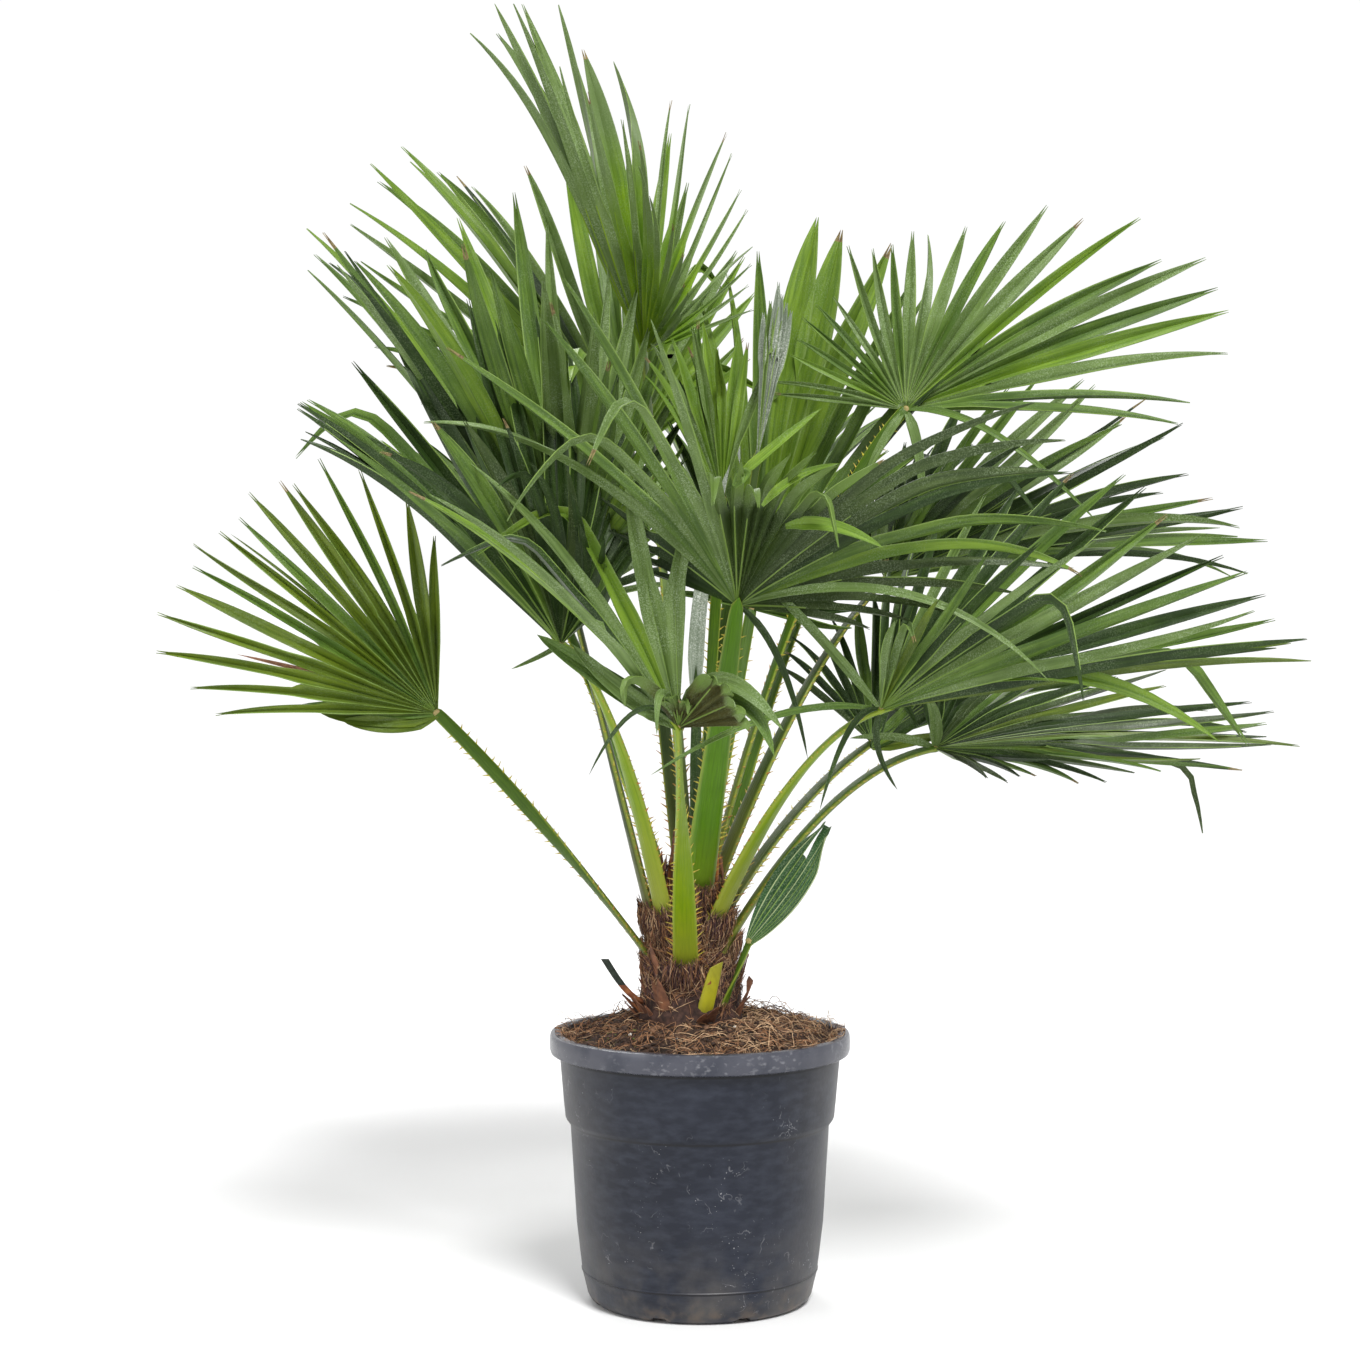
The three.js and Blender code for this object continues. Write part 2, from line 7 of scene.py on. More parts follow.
import logging
import math
import random
from collections.abc import Callable
from dataclasses import dataclass
from enum import Enum
from functools import cache, partial, reduce

import bmesh
import bpy
from mathutils import Matrix, Quaternion, Vector, noise


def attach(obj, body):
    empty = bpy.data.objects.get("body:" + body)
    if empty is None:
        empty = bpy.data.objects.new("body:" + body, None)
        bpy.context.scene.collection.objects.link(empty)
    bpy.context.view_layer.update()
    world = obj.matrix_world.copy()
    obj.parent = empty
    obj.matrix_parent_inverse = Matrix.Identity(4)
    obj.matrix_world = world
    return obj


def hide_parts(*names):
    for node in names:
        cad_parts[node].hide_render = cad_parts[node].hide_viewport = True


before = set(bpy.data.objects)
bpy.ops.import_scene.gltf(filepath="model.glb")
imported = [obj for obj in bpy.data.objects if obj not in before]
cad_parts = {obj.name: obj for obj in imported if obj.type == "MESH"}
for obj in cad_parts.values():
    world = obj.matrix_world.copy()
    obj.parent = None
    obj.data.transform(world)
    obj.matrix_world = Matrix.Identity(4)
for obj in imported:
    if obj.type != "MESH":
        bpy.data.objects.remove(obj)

Triple = tuple[float, float, float]
Pair = tuple[float, float]
Mesh = bmesh.types.BMesh
Layer = bmesh.types.BMLayerItem
Cells = dict[bmesh.types.BMVert, tuple[int, int]]
Piece = bpy.types.Object
Socket = bpy.types.NodeSocket
Value = Socket | float | Triple

LOG = logging.getLogger("fan_palm")
MM = 0.001
BODY = "root"
UP = Vector((0, 0, 1))
ASKEW = Vector((0.31, 0.52, 0.79))
TURN = math.tau
WELD_REACH = 0.004
SPIN_REACH = 0.01
TINY = 1e-6
FIBRE_SIDES = 3
FIBRE_CREASE = 70.0
SHEATH_THICKNESS = 0.9
LEAF_THICKNESS = 0.7
LEAF_CREASE = 28.0


class Slot(Enum):
    """Material slots of the part's record."""

    POT = "pot"
    SOIL = "soil"
    FIBRE = "trunk_fibre"
    STUB = "stub"
    STALK = "stalk"
    LEAF = "leaf"
    SPEAR = "leaf_spear"


class Tone(Enum):
    """Colours dealt out to leaflets and to parts of leaflets."""

    MID = "leaf_mid"
    DARK = "leaf_dark"
    SILVER = "leaf_silver"
    BRIGHT = "leaf_bright"
    OLIVE = "leaf_olive"
    GREY = "leaf_grey"
    CROWN = "leaf_crown"
    UNDER = "leaf_under"
    # painted shade at the foot of bent-over leaflets and painted light on their outer half
    BENT_PAINTED_LIGHT = "leaf_bent_painted_light"
    RIB = "leaf_rib"
    PALE = "leaf_pale_rib"
    HEART = "leaf_heart"
    DRY = "leaf_dry_tip"
    DEAD = "leaf_dead"
    DOWN = "leaf_down"
    DEEP = "leaf_young"


@dataclass
class NodeBench:
    """Builds the nodes of one material."""

    name: str

    def __post_init__(self) -> None:
        """Start the material with one Principled shader."""
        self.material = bpy.data.materials.new(self.name)
        self.material.use_nodes = True
        self.tree = self.material.node_tree
        self.shader = self.tree.nodes["Principled BSDF"]

    def add(self, kind: str, inputs: dict[str | int, Value] | None = None) -> bpy.types.Node:
        """Add a node.

        Args:
            kind: the node's type name.
            inputs: the socket or number that each input reads.

        Returns:
            The new node.
        """
        node = self.tree.nodes.new(kind)
        for name, value in (inputs or {}).items():
            if isinstance(value, Socket):
                self.join(value, node.inputs[name])
            else:
                node.inputs[name].default_value = value
        return node

    def join(self, source: Socket, target: Socket) -> None:
        """Link an output to the input that reads it."""
        self.tree.links.new(source, target)

    def place(self, stretch: Triple = (1.0, 1.0, 1.0), attribute: str = "") -> Socket:
        """Give the coordinates that a pattern follows.

        Args:
            stretch: scale along each axis.
            attribute: name of the mesh's own attribute, or nothing for the object's coordinates.

        Returns:
            The socket of the stretched coordinates.
        """
        if attribute:
            source = self.add("ShaderNodeAttribute")
            source.attribute_name = attribute
            output = source.outputs["Vector"]
        else:
            output = self.add("ShaderNodeTexCoord").outputs["Object"]
        return self.add("ShaderNodeMapping", {"Scale": stretch, "Vector": output}).outputs["Vector"]

    def axes(self, where: Socket) -> bpy.types.NodeOutputs:
        """Part coordinates into X, Y and Z."""
        return self.add("ShaderNodeSeparateXYZ", {0: where}).outputs

    def cloud(self, where: Socket, scale: float, detail: float) -> Socket:
        """Add soft noise, of about 0.25 to 0.75, with a scale and a number of octaves."""
        node = self.add("ShaderNodeTexNoise", {"Scale": scale, "Detail": detail, "Vector": where})
        return node.outputs["Fac"]

    def grade(self, value: Socket, low: float, high: float) -> Socket:
        """Stretch and clamp a value so that low becomes 0 and high becomes 1."""
        node = self.add("ShaderNodeMapRange", {"From Min": low, "From Max": high, "Value": value})
        return node.outputs["Result"]

    def patches(self, where: Socket, scale: float, detail: float, low: float, high: float) -> Socket:
        """Add noise, stretched so that low becomes 0 and high becomes 1."""
        return self.grade(self.cloud(where, scale, detail), low, high)

    def blend(self, share: Socket, first: Socket | Triple, second: Socket | Triple) -> Socket:
        """Mix two colours.

        Args:
            share: 0 gives the first colour and 1 the second.
            first: a colour, or the socket of one.
            second: a colour, or the socket of one.

        Returns:
            The socket of the mixed colour.
        """
        node = self.add("ShaderNodeMix")
        node.data_type = "RGBA"
        self.join(share, node.inputs[0])
        for slot, colour in ((node.inputs[6], first), (node.inputs[7], second)):
            if isinstance(colour, tuple):
                slot.default_value = (*colour, 1.0)
            else:
                self.join(colour, slot)
        return node.outputs[2]

    def reckon(self, operation: str, first: Socket, second: Socket | float = 0.0) -> Socket:
        """Reckon with a value.

        Args:
            operation: name of the operation.
            first: the value.
            second: another value, or a number.

        Returns:
            The result.
        """
        node = self.add("ShaderNodeMath", {0: first, 1: second})
        node.operation = operation
        return node.outputs[0]

    def times(self, first: Socket, *others: Socket | float) -> Socket:
        """Multiply a value by others, one after another."""
        return reduce(partial(self.reckon, "MULTIPLY"), others, first)

    def distance(self, value: Socket, centre: float) -> Socket:
        """Give how far a value is from a number, never below 0."""
        return self.reckon("ABSOLUTE", self.reckon("SUBTRACT", value, centre))

    def relief(self, height: Socket, strength: float, depth: float) -> None:
        """Drive the shader's normal with a height, by a strength and a depth in metres."""
        node = self.add("ShaderNodeBump", {"Strength": strength, "Distance": depth, "Height": height})
        self.join(node.outputs["Normal"], self.shader.inputs["Normal"])

    def colour(self, source: Socket) -> None:
        """Drive the base colour."""
        self.join(source, self.shader.inputs["Base Color"])

    def shine(self, level: float) -> None:
        """Set how strongly the surface mirrors."""
        self.shader.inputs["Specular IOR Level"].default_value = level

    def rough(self, value: Socket, low: float, high: float) -> None:
        """Drive the roughness, where a value of 0 gives the low one and 1 the high one."""
        node = self.add("ShaderNodeMapRange", {"To Min": low, "To Max": high, "Value": value})
        self.join(node.outputs["Result"], self.shader.inputs["Roughness"])


@dataclass(frozen=True)
class LeafFinish:
    """A waxy leaf colour with streaks along its veins and specks of pale scurf.

    far is the colour of the outer half, a real colour in some leaves and painted light on the bent leaflets,
    and wrinkle how strongly pale lines cross the veins.
    """

    name: str
    base: Triple
    shade: Triple
    scurf: Triple = (0.35, 0.44, 0.26)
    amount: float = 0.25
    roughness: float = 0.42
    far: Triple | None = None
    wrinkle: float = 0.0

    def make(self) -> bpy.types.Material:
        """Build the material.

        Returns:
            The material.
        """
        bench = NodeBench(self.name)
        spot = bench.place()
        patch = bench.patches(spot, 16.0, 4.0, 0.38, 0.62)
        line = bench.patches(bench.place((0.05, 0.006, 0.0), "vein"), 2.2, 3.0, 0.38, 0.62)
        leaf = bench.blend(bench.times(patch, 0.5), self.base, self.shade)
        leaf = bench.blend(bench.times(line, 0.8), leaf, self.shade)
        if self.far:
            reach = bench.axes(bench.place(attribute="vein"))["Z"]
            leaf = bench.blend(bench.grade(reach, 0.42, 0.68), leaf, self.far)
        if self.wrinkle:
            crossing = bench.patches(bench.place((0.09, 0.35, 0.0), "vein"), 2.0, 2.0, 0.5, 0.64)
            leaf = bench.blend(bench.times(crossing, self.wrinkle), leaf, self.scurf)
        speck = bench.patches(spot, 760.0, 3.0, 0.47, 0.68)
        drift = bench.patches(spot, 30.0, 3.0, 0.34, 0.62)
        bench.colour(bench.blend(bench.times(speck, drift, self.amount), leaf, self.scurf))
        bench.rough(patch, self.roughness - 0.06, self.roughness + 0.1)
        bench.relief(line, 0.35, 0.0004)
        bench.shine(0.26)
        return bench.material


@dataclass(frozen=True)
class PlainFinish:
    """Two related colours in a fine grain, for small dry or woody things."""

    name: str
    base: Triple
    other: Triple
    grain: float = 120.0
    roughness: float = 0.7
    depth: float = 0.0005
    stretch: Triple = (1.0, 1.0, 1.0)

    def make(self) -> bpy.types.Material:
        """Build the material.

        Returns:
            The material.
        """
        bench = NodeBench(self.name)
        spot = bench.place(self.stretch)
        grain = bench.patches(spot, self.grain, 5.0, 0.36, 0.64)
        bench.colour(bench.blend(grain, self.base, self.other))
        bench.rough(grain, self.roughness - 0.08, self.roughness + 0.08)
        bench.relief(grain, 0.5, self.depth)
        return bench.material


@dataclass(frozen=True)
class StalkFinish:
    """A smooth stalk skin with long streaks, paler margins and its own colour at the foot."""

    name: str
    base: Triple
    shade: Triple
    foot: Triple
    margin: Triple = (0.3, 0.36, 0.05)
    roughness: float = 0.36

    def make(self) -> bpy.types.Material:
        """Build the material.

        Returns:
            The material.
        """
        bench = NodeBench(self.name)
        streaks = bench.place((5.0, 0.02, 1.0), "vein")
        spot = bench.place()
        line = bench.patches(streaks, 1.6, 4.0, 0.34, 0.66)
        mottle = bench.patches(spot, 60.0, 5.0, 0.35, 0.7)
        skin = bench.blend(line, self.base, self.shade)
        speckled = bench.blend(bench.grade(mottle, -0.6, 2.4), skin, self.shade)
        axes = bench.axes(bench.place(attribute="vein"))
        low = bench.grade(axes["Z"], 0.3, 0.0)
        margin = bench.grade(bench.distance(axes["X"], 0.0), 0.78, 1.0)
        edged = bench.blend(bench.times(margin, 0.7), speckled, self.margin)
        bench.colour(bench.blend(low, edged, self.foot))
        bench.rough(mottle, self.roughness - 0.05, self.roughness + 0.12)
        bench.relief(line, 0.4, 0.0006)
        bench.shine(0.25)
        return bench.material


@dataclass(frozen=True)
class PotFinish:
    """Recycled dark plastic with scuffs, fine scratches, dust and dried dirt, painted sheen and dust on its
    left and right sides, painted highlights among the rim's scuffs and painted shadow lines.

    specks are the scale and reach of each size of chip, and the painted shadow lines the height and half
    width of each dark line under the rim, the collar step and the low ridge, in metres.
    """

    name: str = "pot_plastic"
    base: Triple = (0.0045, 0.0065, 0.014)
    faded: Triple = (0.011, 0.014, 0.025)
    worn: Triple = (0.02, 0.024, 0.037)
    # colour of the dust at the foot, and of the dust and painted sheen on the left and right sides
    dust_and_sheen: Triple = (0.085, 0.078, 0.07)
    rim: Triple = (0.075, 0.077, 0.095)
    # colour of the scuffs, scratches and white specks, and of the painted highlights in the rim's streaks
    scuff_and_glint: Triple = (0.42, 0.42, 0.44)
    dirt: Triple = (0.14, 0.095, 0.06)
    # colour of the painted shadow lines
    painted_shadow: Triple = (0.004, 0.004, 0.006)
    rim_heights: Pair = (0.2492, 0.2503)
    specks: tuple[Pair, ...] = ((75.0, 0.07), (170.0, 0.1), (330.0, 0.13))
    shadow_lines: tuple[Pair, ...] = ((0.2478, 0.0022), (0.1805, 0.0018), (0.0315, 0.0012))

    def make(self) -> bpy.types.Material:
        """Build the material.

        Returns:
            The material.
        """
        bench = NodeBench(self.name)
        spot = bench.place()
        axes = bench.axes(spot)
        height = axes["Z"]
        patch = bench.patches(spot, 7.0, 9.0, 0.36, 0.66)
        grain = bench.patches(bench.place((1.0, 1.0, 2.5)), 60.0, 14.0, 0.4, 0.75)
        skin = bench.blend(grain, bench.blend(patch, self.base, self.faded), self.worn)
        # painted sheen and dust: the pot's left and right sides, as seen from the front, are lightened
        # towards the dust colour
        sides = bench.grade(bench.distance(axes["X"], 0.0), 0.075, 0.15)
        uneven = bench.patches(spot, 14.0, 6.0, 0.3, 0.7)
        side_sheen_and_dust = bench.blend(bench.times(sides, uneven, 0.6), skin, self.dust_and_sheen)
        low = bench.grade(height, 0.1, 0.02)
        drift = bench.patches(spot, 30.0, 8.0, 0.36, 0.7)
        dusty = bench.blend(bench.times(low, drift, 0.65), side_sheen_and_dust, self.dust_and_sheen)
        rim = bench.grade(height, *self.rim_heights)
        rimmed = bench.blend(bench.times(rim, 0.75), dusty, self.rim)
        gathered = bench.patches(spot, 12.0, 2.0, 0.47, 0.6)
        broken = bench.times(bench.patches(spot, 70.0, 2.0, 0.52, 0.6), gathered)
        thread = bench.grade(bench.distance(bench.cloud(spot, 32.0, 3.0), 0.5), 0.01, 0.002)
        scored = bench.blend(bench.times(thread, broken, 0.22), rimmed, self.scuff_and_glint)
        for scale, reach in self.specks:
            speck = bench.add("ShaderNodeTexVoronoi", {"Scale": scale, "Vector": spot})
            dots = bench.grade(speck.outputs["Distance"], reach, reach / 2)
            scored = bench.blend(bench.times(dots, broken, 0.8), scored, self.scuff_and_glint)
        dull = bench.patches(spot, 34.0, 9.0, 0.44, 0.68)
        mottled = bench.blend(bench.times(dull, 0.6, rim), scored, self.worn)
        # rim streaks: white scuffs, partly painted highlights, as flecks stretched along the rim
        flecks_and_glints = bench.patches(bench.place((1.0, 1.0, 1.5)), 150.0, 8.0, 0.54, 0.7)
        streaky = bench.patches(spot, 16.0, 2.0, 0.45, 0.6)
        scuffed_and_glinting = bench.blend(bench.times(streaky, flecks_and_glints, rim, 0.22), mottled, self.scuff_and_glint)
        ground = bench.grade(height, 0.03, 0.004)
        blotch = bench.patches(spot, 60.0, 10.0, 0.5, 0.66)
        soiled_and_shadowed = bench.blend(bench.times(ground, blotch, 0.4), scuffed_and_glinting, self.dirt)
        # painted shadow: dark lines under the rim, under the collar step and under the low ridge near the
        # foot
        for level, half in self.shadow_lines:
            shadow_band = bench.grade(bench.distance(height, level), half, half / 3)
            soiled_and_shadowed = bench.blend(bench.times(shadow_band, 0.8), soiled_and_shadowed, self.painted_shadow)
        bench.colour(soiled_and_shadowed)
        bench.rough(bench.blend(rim, (0.5, 0.5, 0.5), (0.0, 0.0, 0.0)), 0.27, 0.58)
        bench.relief(bench.cloud(spot, 220.0, 6.0), 0.2, 0.0007)
        bench.shine(0.34)
        return bench.material


Finish = LeafFinish | PlainFinish | StalkFinish | PotFinish

LEAF_FINISHES: dict[Tone, LeafFinish | PlainFinish] = {
    Tone(finish.name): finish
    for finish in (
        LeafFinish("leaf_mid", (0.125, 0.215, 0.028), (0.04, 0.084, 0.012)),
        LeafFinish("leaf_dark", (0.03, 0.063, 0.007), (0.009, 0.023, 0.004), amount=0.2),
        LeafFinish("leaf_silver", (0.147, 0.226, 0.06), (0.068, 0.118, 0.022), amount=0.6),
        LeafFinish("leaf_bright", (0.18, 0.29, 0.026), (0.075, 0.15, 0.013), amount=0.25),
        LeafFinish("leaf_grey", (0.06, 0.094, 0.022), (0.022, 0.04, 0.009), amount=0.35),
        LeafFinish("leaf_crown", (0.17, 0.29, 0.01), (0.07, 0.15, 0.008), far=(0.11, 0.17, 0.05)),
        LeafFinish("leaf_olive", (0.122, 0.178, 0.012), (0.047, 0.082, 0.007), amount=0.2),
        LeafFinish("leaf_under", (0.075, 0.072, 0.018), (0.032, 0.032, 0.007), far=(0.12, 0.19, 0.04)),
        # bent leaflets: painted shade at the foot and painted light on the outer half
        LeafFinish("leaf_bent_painted_light", (0.05, 0.085, 0.014), (0.018, 0.036, 0.005), far=(0.1, 0.165, 0.03)),
        LeafFinish("leaf_rib", (0.22, 0.33, 0.07), (0.13, 0.21, 0.035), amount=0.3),
        LeafFinish("leaf_pale_rib", (0.44, 0.5, 0.27), (0.3, 0.37, 0.16), amount=0.1),
        LeafFinish("leaf_heart", (0.2, 0.31, 0.012), (0.11, 0.2, 0.008), amount=0.1),
        LeafFinish("leaf_young", (0.022, 0.095, 0.02), (0.008, 0.038, 0.008), wrinkle=0.3),
        LeafFinish("leaf_down", (0.3, 0.34, 0.27), (0.12, 0.16, 0.1), (0.68, 0.7, 0.64), 0.8, 0.6),
        PlainFinish("leaf_dry_tip", (0.24, 0.19, 0.07), (0.12, 0.08, 0.03), 300.0),
        PlainFinish("leaf_dead", (0.42, 0.2, 0.12), (0.26, 0.12, 0.07), 200.0),
    )
}

STALK_FRESH = StalkFinish("stalk_fresh", (0.23, 0.32, 0.002), (0.14, 0.24, 0.002), (0.26, 0.27, 0.03))
STALK_BROAD = StalkFinish("stalk_broad", (0.09, 0.22, 0.001), (0.06, 0.15, 0.001), (0.17, 0.25, 0.02))
STALK_GREEN = StalkFinish("stalk_green", (0.075, 0.15, 0.004), (0.035, 0.08, 0.003), (0.17, 0.19, 0.03))
STALK_SHADE = StalkFinish("stalk_shade", (0.045, 0.08, 0.006), (0.024, 0.042, 0.004), (0.13, 0.14, 0.03))
STALK_PALE = StalkFinish("stalk_pale", (0.22, 0.3, 0.1), (0.11, 0.17, 0.05), (0.13, 0.14, 0.03))
STALK_GREY = StalkFinish("stalk_grey", (0.06, 0.1, 0.018), (0.03, 0.055, 0.01), (0.13, 0.14, 0.03))
TOOTH = PlainFinish("stalk_tooth", (0.55, 0.5, 0.05), (0.36, 0.24, 0.03), 400.0, 0.45)
TOOTH_RED = PlainFinish("stalk_tooth_red", (0.4, 0.12, 0.03), (0.5, 0.32, 0.04), 300.0, 0.45)
CREST = PlainFinish("leaf_heart_crest", (0.38, 0.27, 0.12), (0.2, 0.19, 0.04), 300.0, 0.6)
FIBRE_DARK = PlainFinish("fibre_dark", (0.06, 0.024, 0.014), (0.022, 0.01, 0.007), 200.0, 0.85)
FIBRE_PLUM = PlainFinish("fibre_plum", (0.13, 0.06, 0.056), (0.05, 0.022, 0.022), 200.0, 0.85)
FIBRE_MID = PlainFinish("fibre_mid", (0.34, 0.165, 0.075), (0.19, 0.09, 0.042), 200.0, 0.85)
FIBRE_TAN = PlainFinish("fibre_tan", (0.56, 0.37, 0.21), (0.38, 0.235, 0.13), 200.0, 0.8)
SHEATH = PlainFinish("sheath", (0.25, 0.1, 0.045), (0.085, 0.034, 0.018), 90.0, 0.7, 0.0008)
SHEATH_RED = PlainFinish("sheath_red", (0.42, 0.155, 0.045), (0.2, 0.06, 0.024), 90.0, 0.65, 0.0008)
SOIL_DARK = PlainFinish("soil_dark", (0.06, 0.03, 0.017), (0.014, 0.008, 0.005), 160.0, 0.95, 0.002)
SOIL_BROWN = PlainFinish("soil_brown", (0.2, 0.105, 0.058), (0.08, 0.042, 0.024), 200.0, 0.95, 0.001)
MOSS = PlainFinish("moss", (0.12, 0.15, 0.03), (0.06, 0.06, 0.02), 400.0, 0.95)
PERLITE = PlainFinish("perlite", (0.8, 0.78, 0.72), (0.6, 0.56, 0.5), 500.0, 0.9)
CUT_WOOD = PlainFinish("cut_face", (0.6, 0.55, 0.1), (0.46, 0.42, 0.06), 300.0, 0.6)
STUB_SKIN = PlainFinish(
    "stub_skin", (0.4, 0.38, 0.015), (0.26, 0.25, 0.01), 90.0, 0.5, stretch=(1.0, 1.0, 0.25)
)
DARK_END = PlainFinish("dark_end", (0.03, 0.045, 0.03), (0.015, 0.02, 0.015), 200.0, 0.8)
FLOOR = PlainFinish("studio_floor", (0.8, 0.8, 0.8), (0.8, 0.8, 0.8), 3.0, 0.95, 0.0)


@cache
def material_of(finish: Finish) -> bpy.types.Material:
    """Give the material of a finish, which is made once."""
    return finish.make()


def lay_strip(bm: Mesh, columns: int, rows: int, place: Callable[[int, int], Vector]) -> Cells:
    """Lay a grid whose corners are placed by column and row.

    Args:
        bm: the mesh that grows.
        columns: faces across.
        rows: faces along.
        place: gives the point of a column and row.

    Returns:
        The column and row of each new corner.
    """
    made = bmesh.ops.create_grid(bm, x_segments=columns, y_segments=rows, size=1.0)["verts"]
    cells = {}
    for vert in made:
        cells[vert] = (round((vert.co.x + 1) / 2 * columns), round((vert.co.y + 1) / 2 * rows))
    for vert, (column, row) in cells.items():
        vert.co = place(column, row)
    return cells


def faces_of(cells: Cells) -> dict[bmesh.types.BMFace, tuple[int, int]]:
    """Find the faces of a strip.

    Args:
        cells: the corners, as lay_strip gives them.

    Returns:
        The lowest column and row of each face.
    """
    found = {}
    for vert in cells:
        for face in vert.link_faces:
            if face not in found:
                corners = [cells[corner] for corner in face.verts]
                found[face] = (min(c for c, _ in corners), min(r for _, r in corners))
    return found


def weld(bm: Mesh, reach: float = WELD_REACH) -> None:
    """Merge corners that lie nearer to one another than a reach in millimetres."""
    bmesh.ops.remove_doubles(bm, verts=bm.verts[:], dist=reach)


def face_outwards(bm: Mesh) -> None:
    """Turn the faces of closed shells outwards."""
    bmesh.ops.recalc_face_normals(bm, faces=bm.faces[:])


def close_shell(bm: Mesh) -> None:
    """Merge the corners that lie on one another and turn the faces outwards."""
    weld(bm)
    face_outwards(bm)


def spin_profile(bm: Mesh, profile: tuple[Pair, ...], steps: int) -> None:
    """Turn an outline once round the upright axis.

    Args:
        bm: the mesh that grows.
        profile: radius and height of each corner, from axis to axis.
        steps: faces around.
    """
    rail = [bm.verts.new((radius, 0, height)) for radius, height in profile]
    edges = [bm.edges.new(pair) for pair in zip(rail, rail[1:])]
    bmesh.ops.spin(
        bm, geom=rail + edges, cent=(0, 0, 0), axis=UP, angle=TURN, steps=steps, use_merge=True
    )
    weld(bm, SPIN_REACH)


def colour_faces(verts: list[bmesh.types.BMVert], material: int) -> None:
    """Give the faces at some corners the finish with an index."""
    for face in {face for vert in verts for face in vert.link_faces}:
        face.material_index = material


@dataclass
class Heap:
    """Gathers many small shapes in batches, so that each is modelled in a small mesh."""

    batch: int = 50
    held: int = 0

    def __post_init__(self) -> None:
        """Start with nothing in it."""
        self.whole = bmesh.new()
        self.small = bmesh.new()

    def bench(self) -> Mesh:
        """Give the small mesh that the next shape is modelled in.

        Returns:
            The mesh, emptied first where it holds a full batch.
        """
        if self.held == self.batch:
            self.empty()
        self.held += 1
        return self.small

    def empty(self) -> None:
        """Move what the small mesh holds into the whole."""
        mesh = bpy.data.meshes.new("batch")
        self.small.to_mesh(mesh)
        self.small.clear()
        self.whole.from_mesh(mesh)
        bpy.data.meshes.remove(mesh)
        self.held = 0

    def pour(self) -> Mesh:
        """Give the whole mesh."""
        self.empty()
        return self.whole


def add_object(name: str, data: bpy.types.ID) -> Piece:
    """Put a new object into the scene.

    Args:
        name: its name.
        data: its mesh, lamp or camera.

    Returns:
        The object.
    """
    made = bpy.data.objects.new(name, data)
    bpy.context.scene.collection.objects.link(made)
    return made


def finish_piece(
    bm: Mesh,
    name: str,
    finishes: list[Finish],
    slot: Slot,
    replaced: tuple[str, ...] = (),
    crease: float = 40.0,
) -> Piece:
    """Turn a mesh into a piece of the part.

    Args:
        bm: the mesh in millimetres, which is used up.
        name: the piece's name.
        finishes: its finishes, by material index.
        slot: the record's material slot; not used.
        replaced: CAD nodes that it stands for.
        crease: edges sharper than this many degrees stay sharp.

    Returns:
        The finished object.
    """
    bmesh.ops.scale(bm, vec=(MM, MM, MM), verts=bm.verts[:])
    for face in bm.faces:
        face.smooth = True
    mesh = bpy.data.meshes.new(name)
    bm.to_mesh(mesh)
    bm.free()
    mesh.set_sharp_from_angle(angle=math.radians(crease))
    for finish in finishes:
        mesh.materials.append(material_of(finish))
    piece = add_object(name, mesh)
    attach(piece, BODY)
    if replaced:
        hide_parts(*replaced)
    LOG.info("%s: %d triangles", name, sum(len(face.vertices) - 2 for face in mesh.polygons))
    return piece


def finish_blade(
    bm: Mesh,
    name: str,
    tones: list[Tone],
    slot: Slot = Slot.LEAF,
    replaced: tuple[str, ...] = (),
) -> Piece:
    """Thicken leaflets, coloured by material index, and turn them into a piece of the part."""
    bmesh.ops.solidify(bm, geom=bm.faces[:], thickness=LEAF_THICKNESS)
    return finish_piece(bm, name, [LEAF_FINISHES[tone] for tone in tones], slot, replaced, LEAF_CREASE)


def outwards(angle: float) -> Vector:
    """Give the level direction at an angle in radians."""
    return Vector((math.cos(angle), math.sin(angle), 0))


def quarter_on(level: Vector) -> Vector:
    """Give the level direction a quarter turn on from another."""
    return Vector((-level.y, level.x, 0))


def shaken(chance: random.Random) -> Vector:
    """Draw a vector that points anywhere."""
    return Vector((chance.gauss(0, 1), chance.gauss(0, 1), chance.gauss(0, 1)))


def pick(chance: random.Random, *weights: float) -> int:
    """Draw an index, each by its weight."""
    return chance.choices(range(len(weights)), weights)[0]


def turned(vector: Vector, axis: Vector, degrees: float) -> Vector:
    """Turn a vector about an axis."""
    return Quaternion(axis, math.radians(degrees)) @ vector


def smooth(value: float) -> float:
    """Ease a share from 0 to 1."""
    share = min(1.0, max(0.0, value))
    return share * share * (3 - 2 * share)


def bent(start: Vector, middle: Vector, end: Vector, share: float) -> Vector:
    """Give the point at a share of a curve that its middle point pulls to one side."""
    back = 1 - share
    return start * back * back + middle * 2 * back * share + end * share * share


@dataclass(frozen=True)
class Quirk:
    """What sets a run of neighbouring leaflets apart from the rest of their leaf.

    span is the run's range of degrees. length, web and wide multiply, limp is how far the leaflets
    hang, and aside, elbow and curl bend them across, across at half way, and over, in degrees.
    """

    span: Pair
    length: float = 1.0
    web: float = 1.0
    wide: float = 1.0
    limp: float = 0.0
    aside: float = 0.0
    elbow: float = 0.0
    curl: float = 0.0
    tone: Tone | None = None


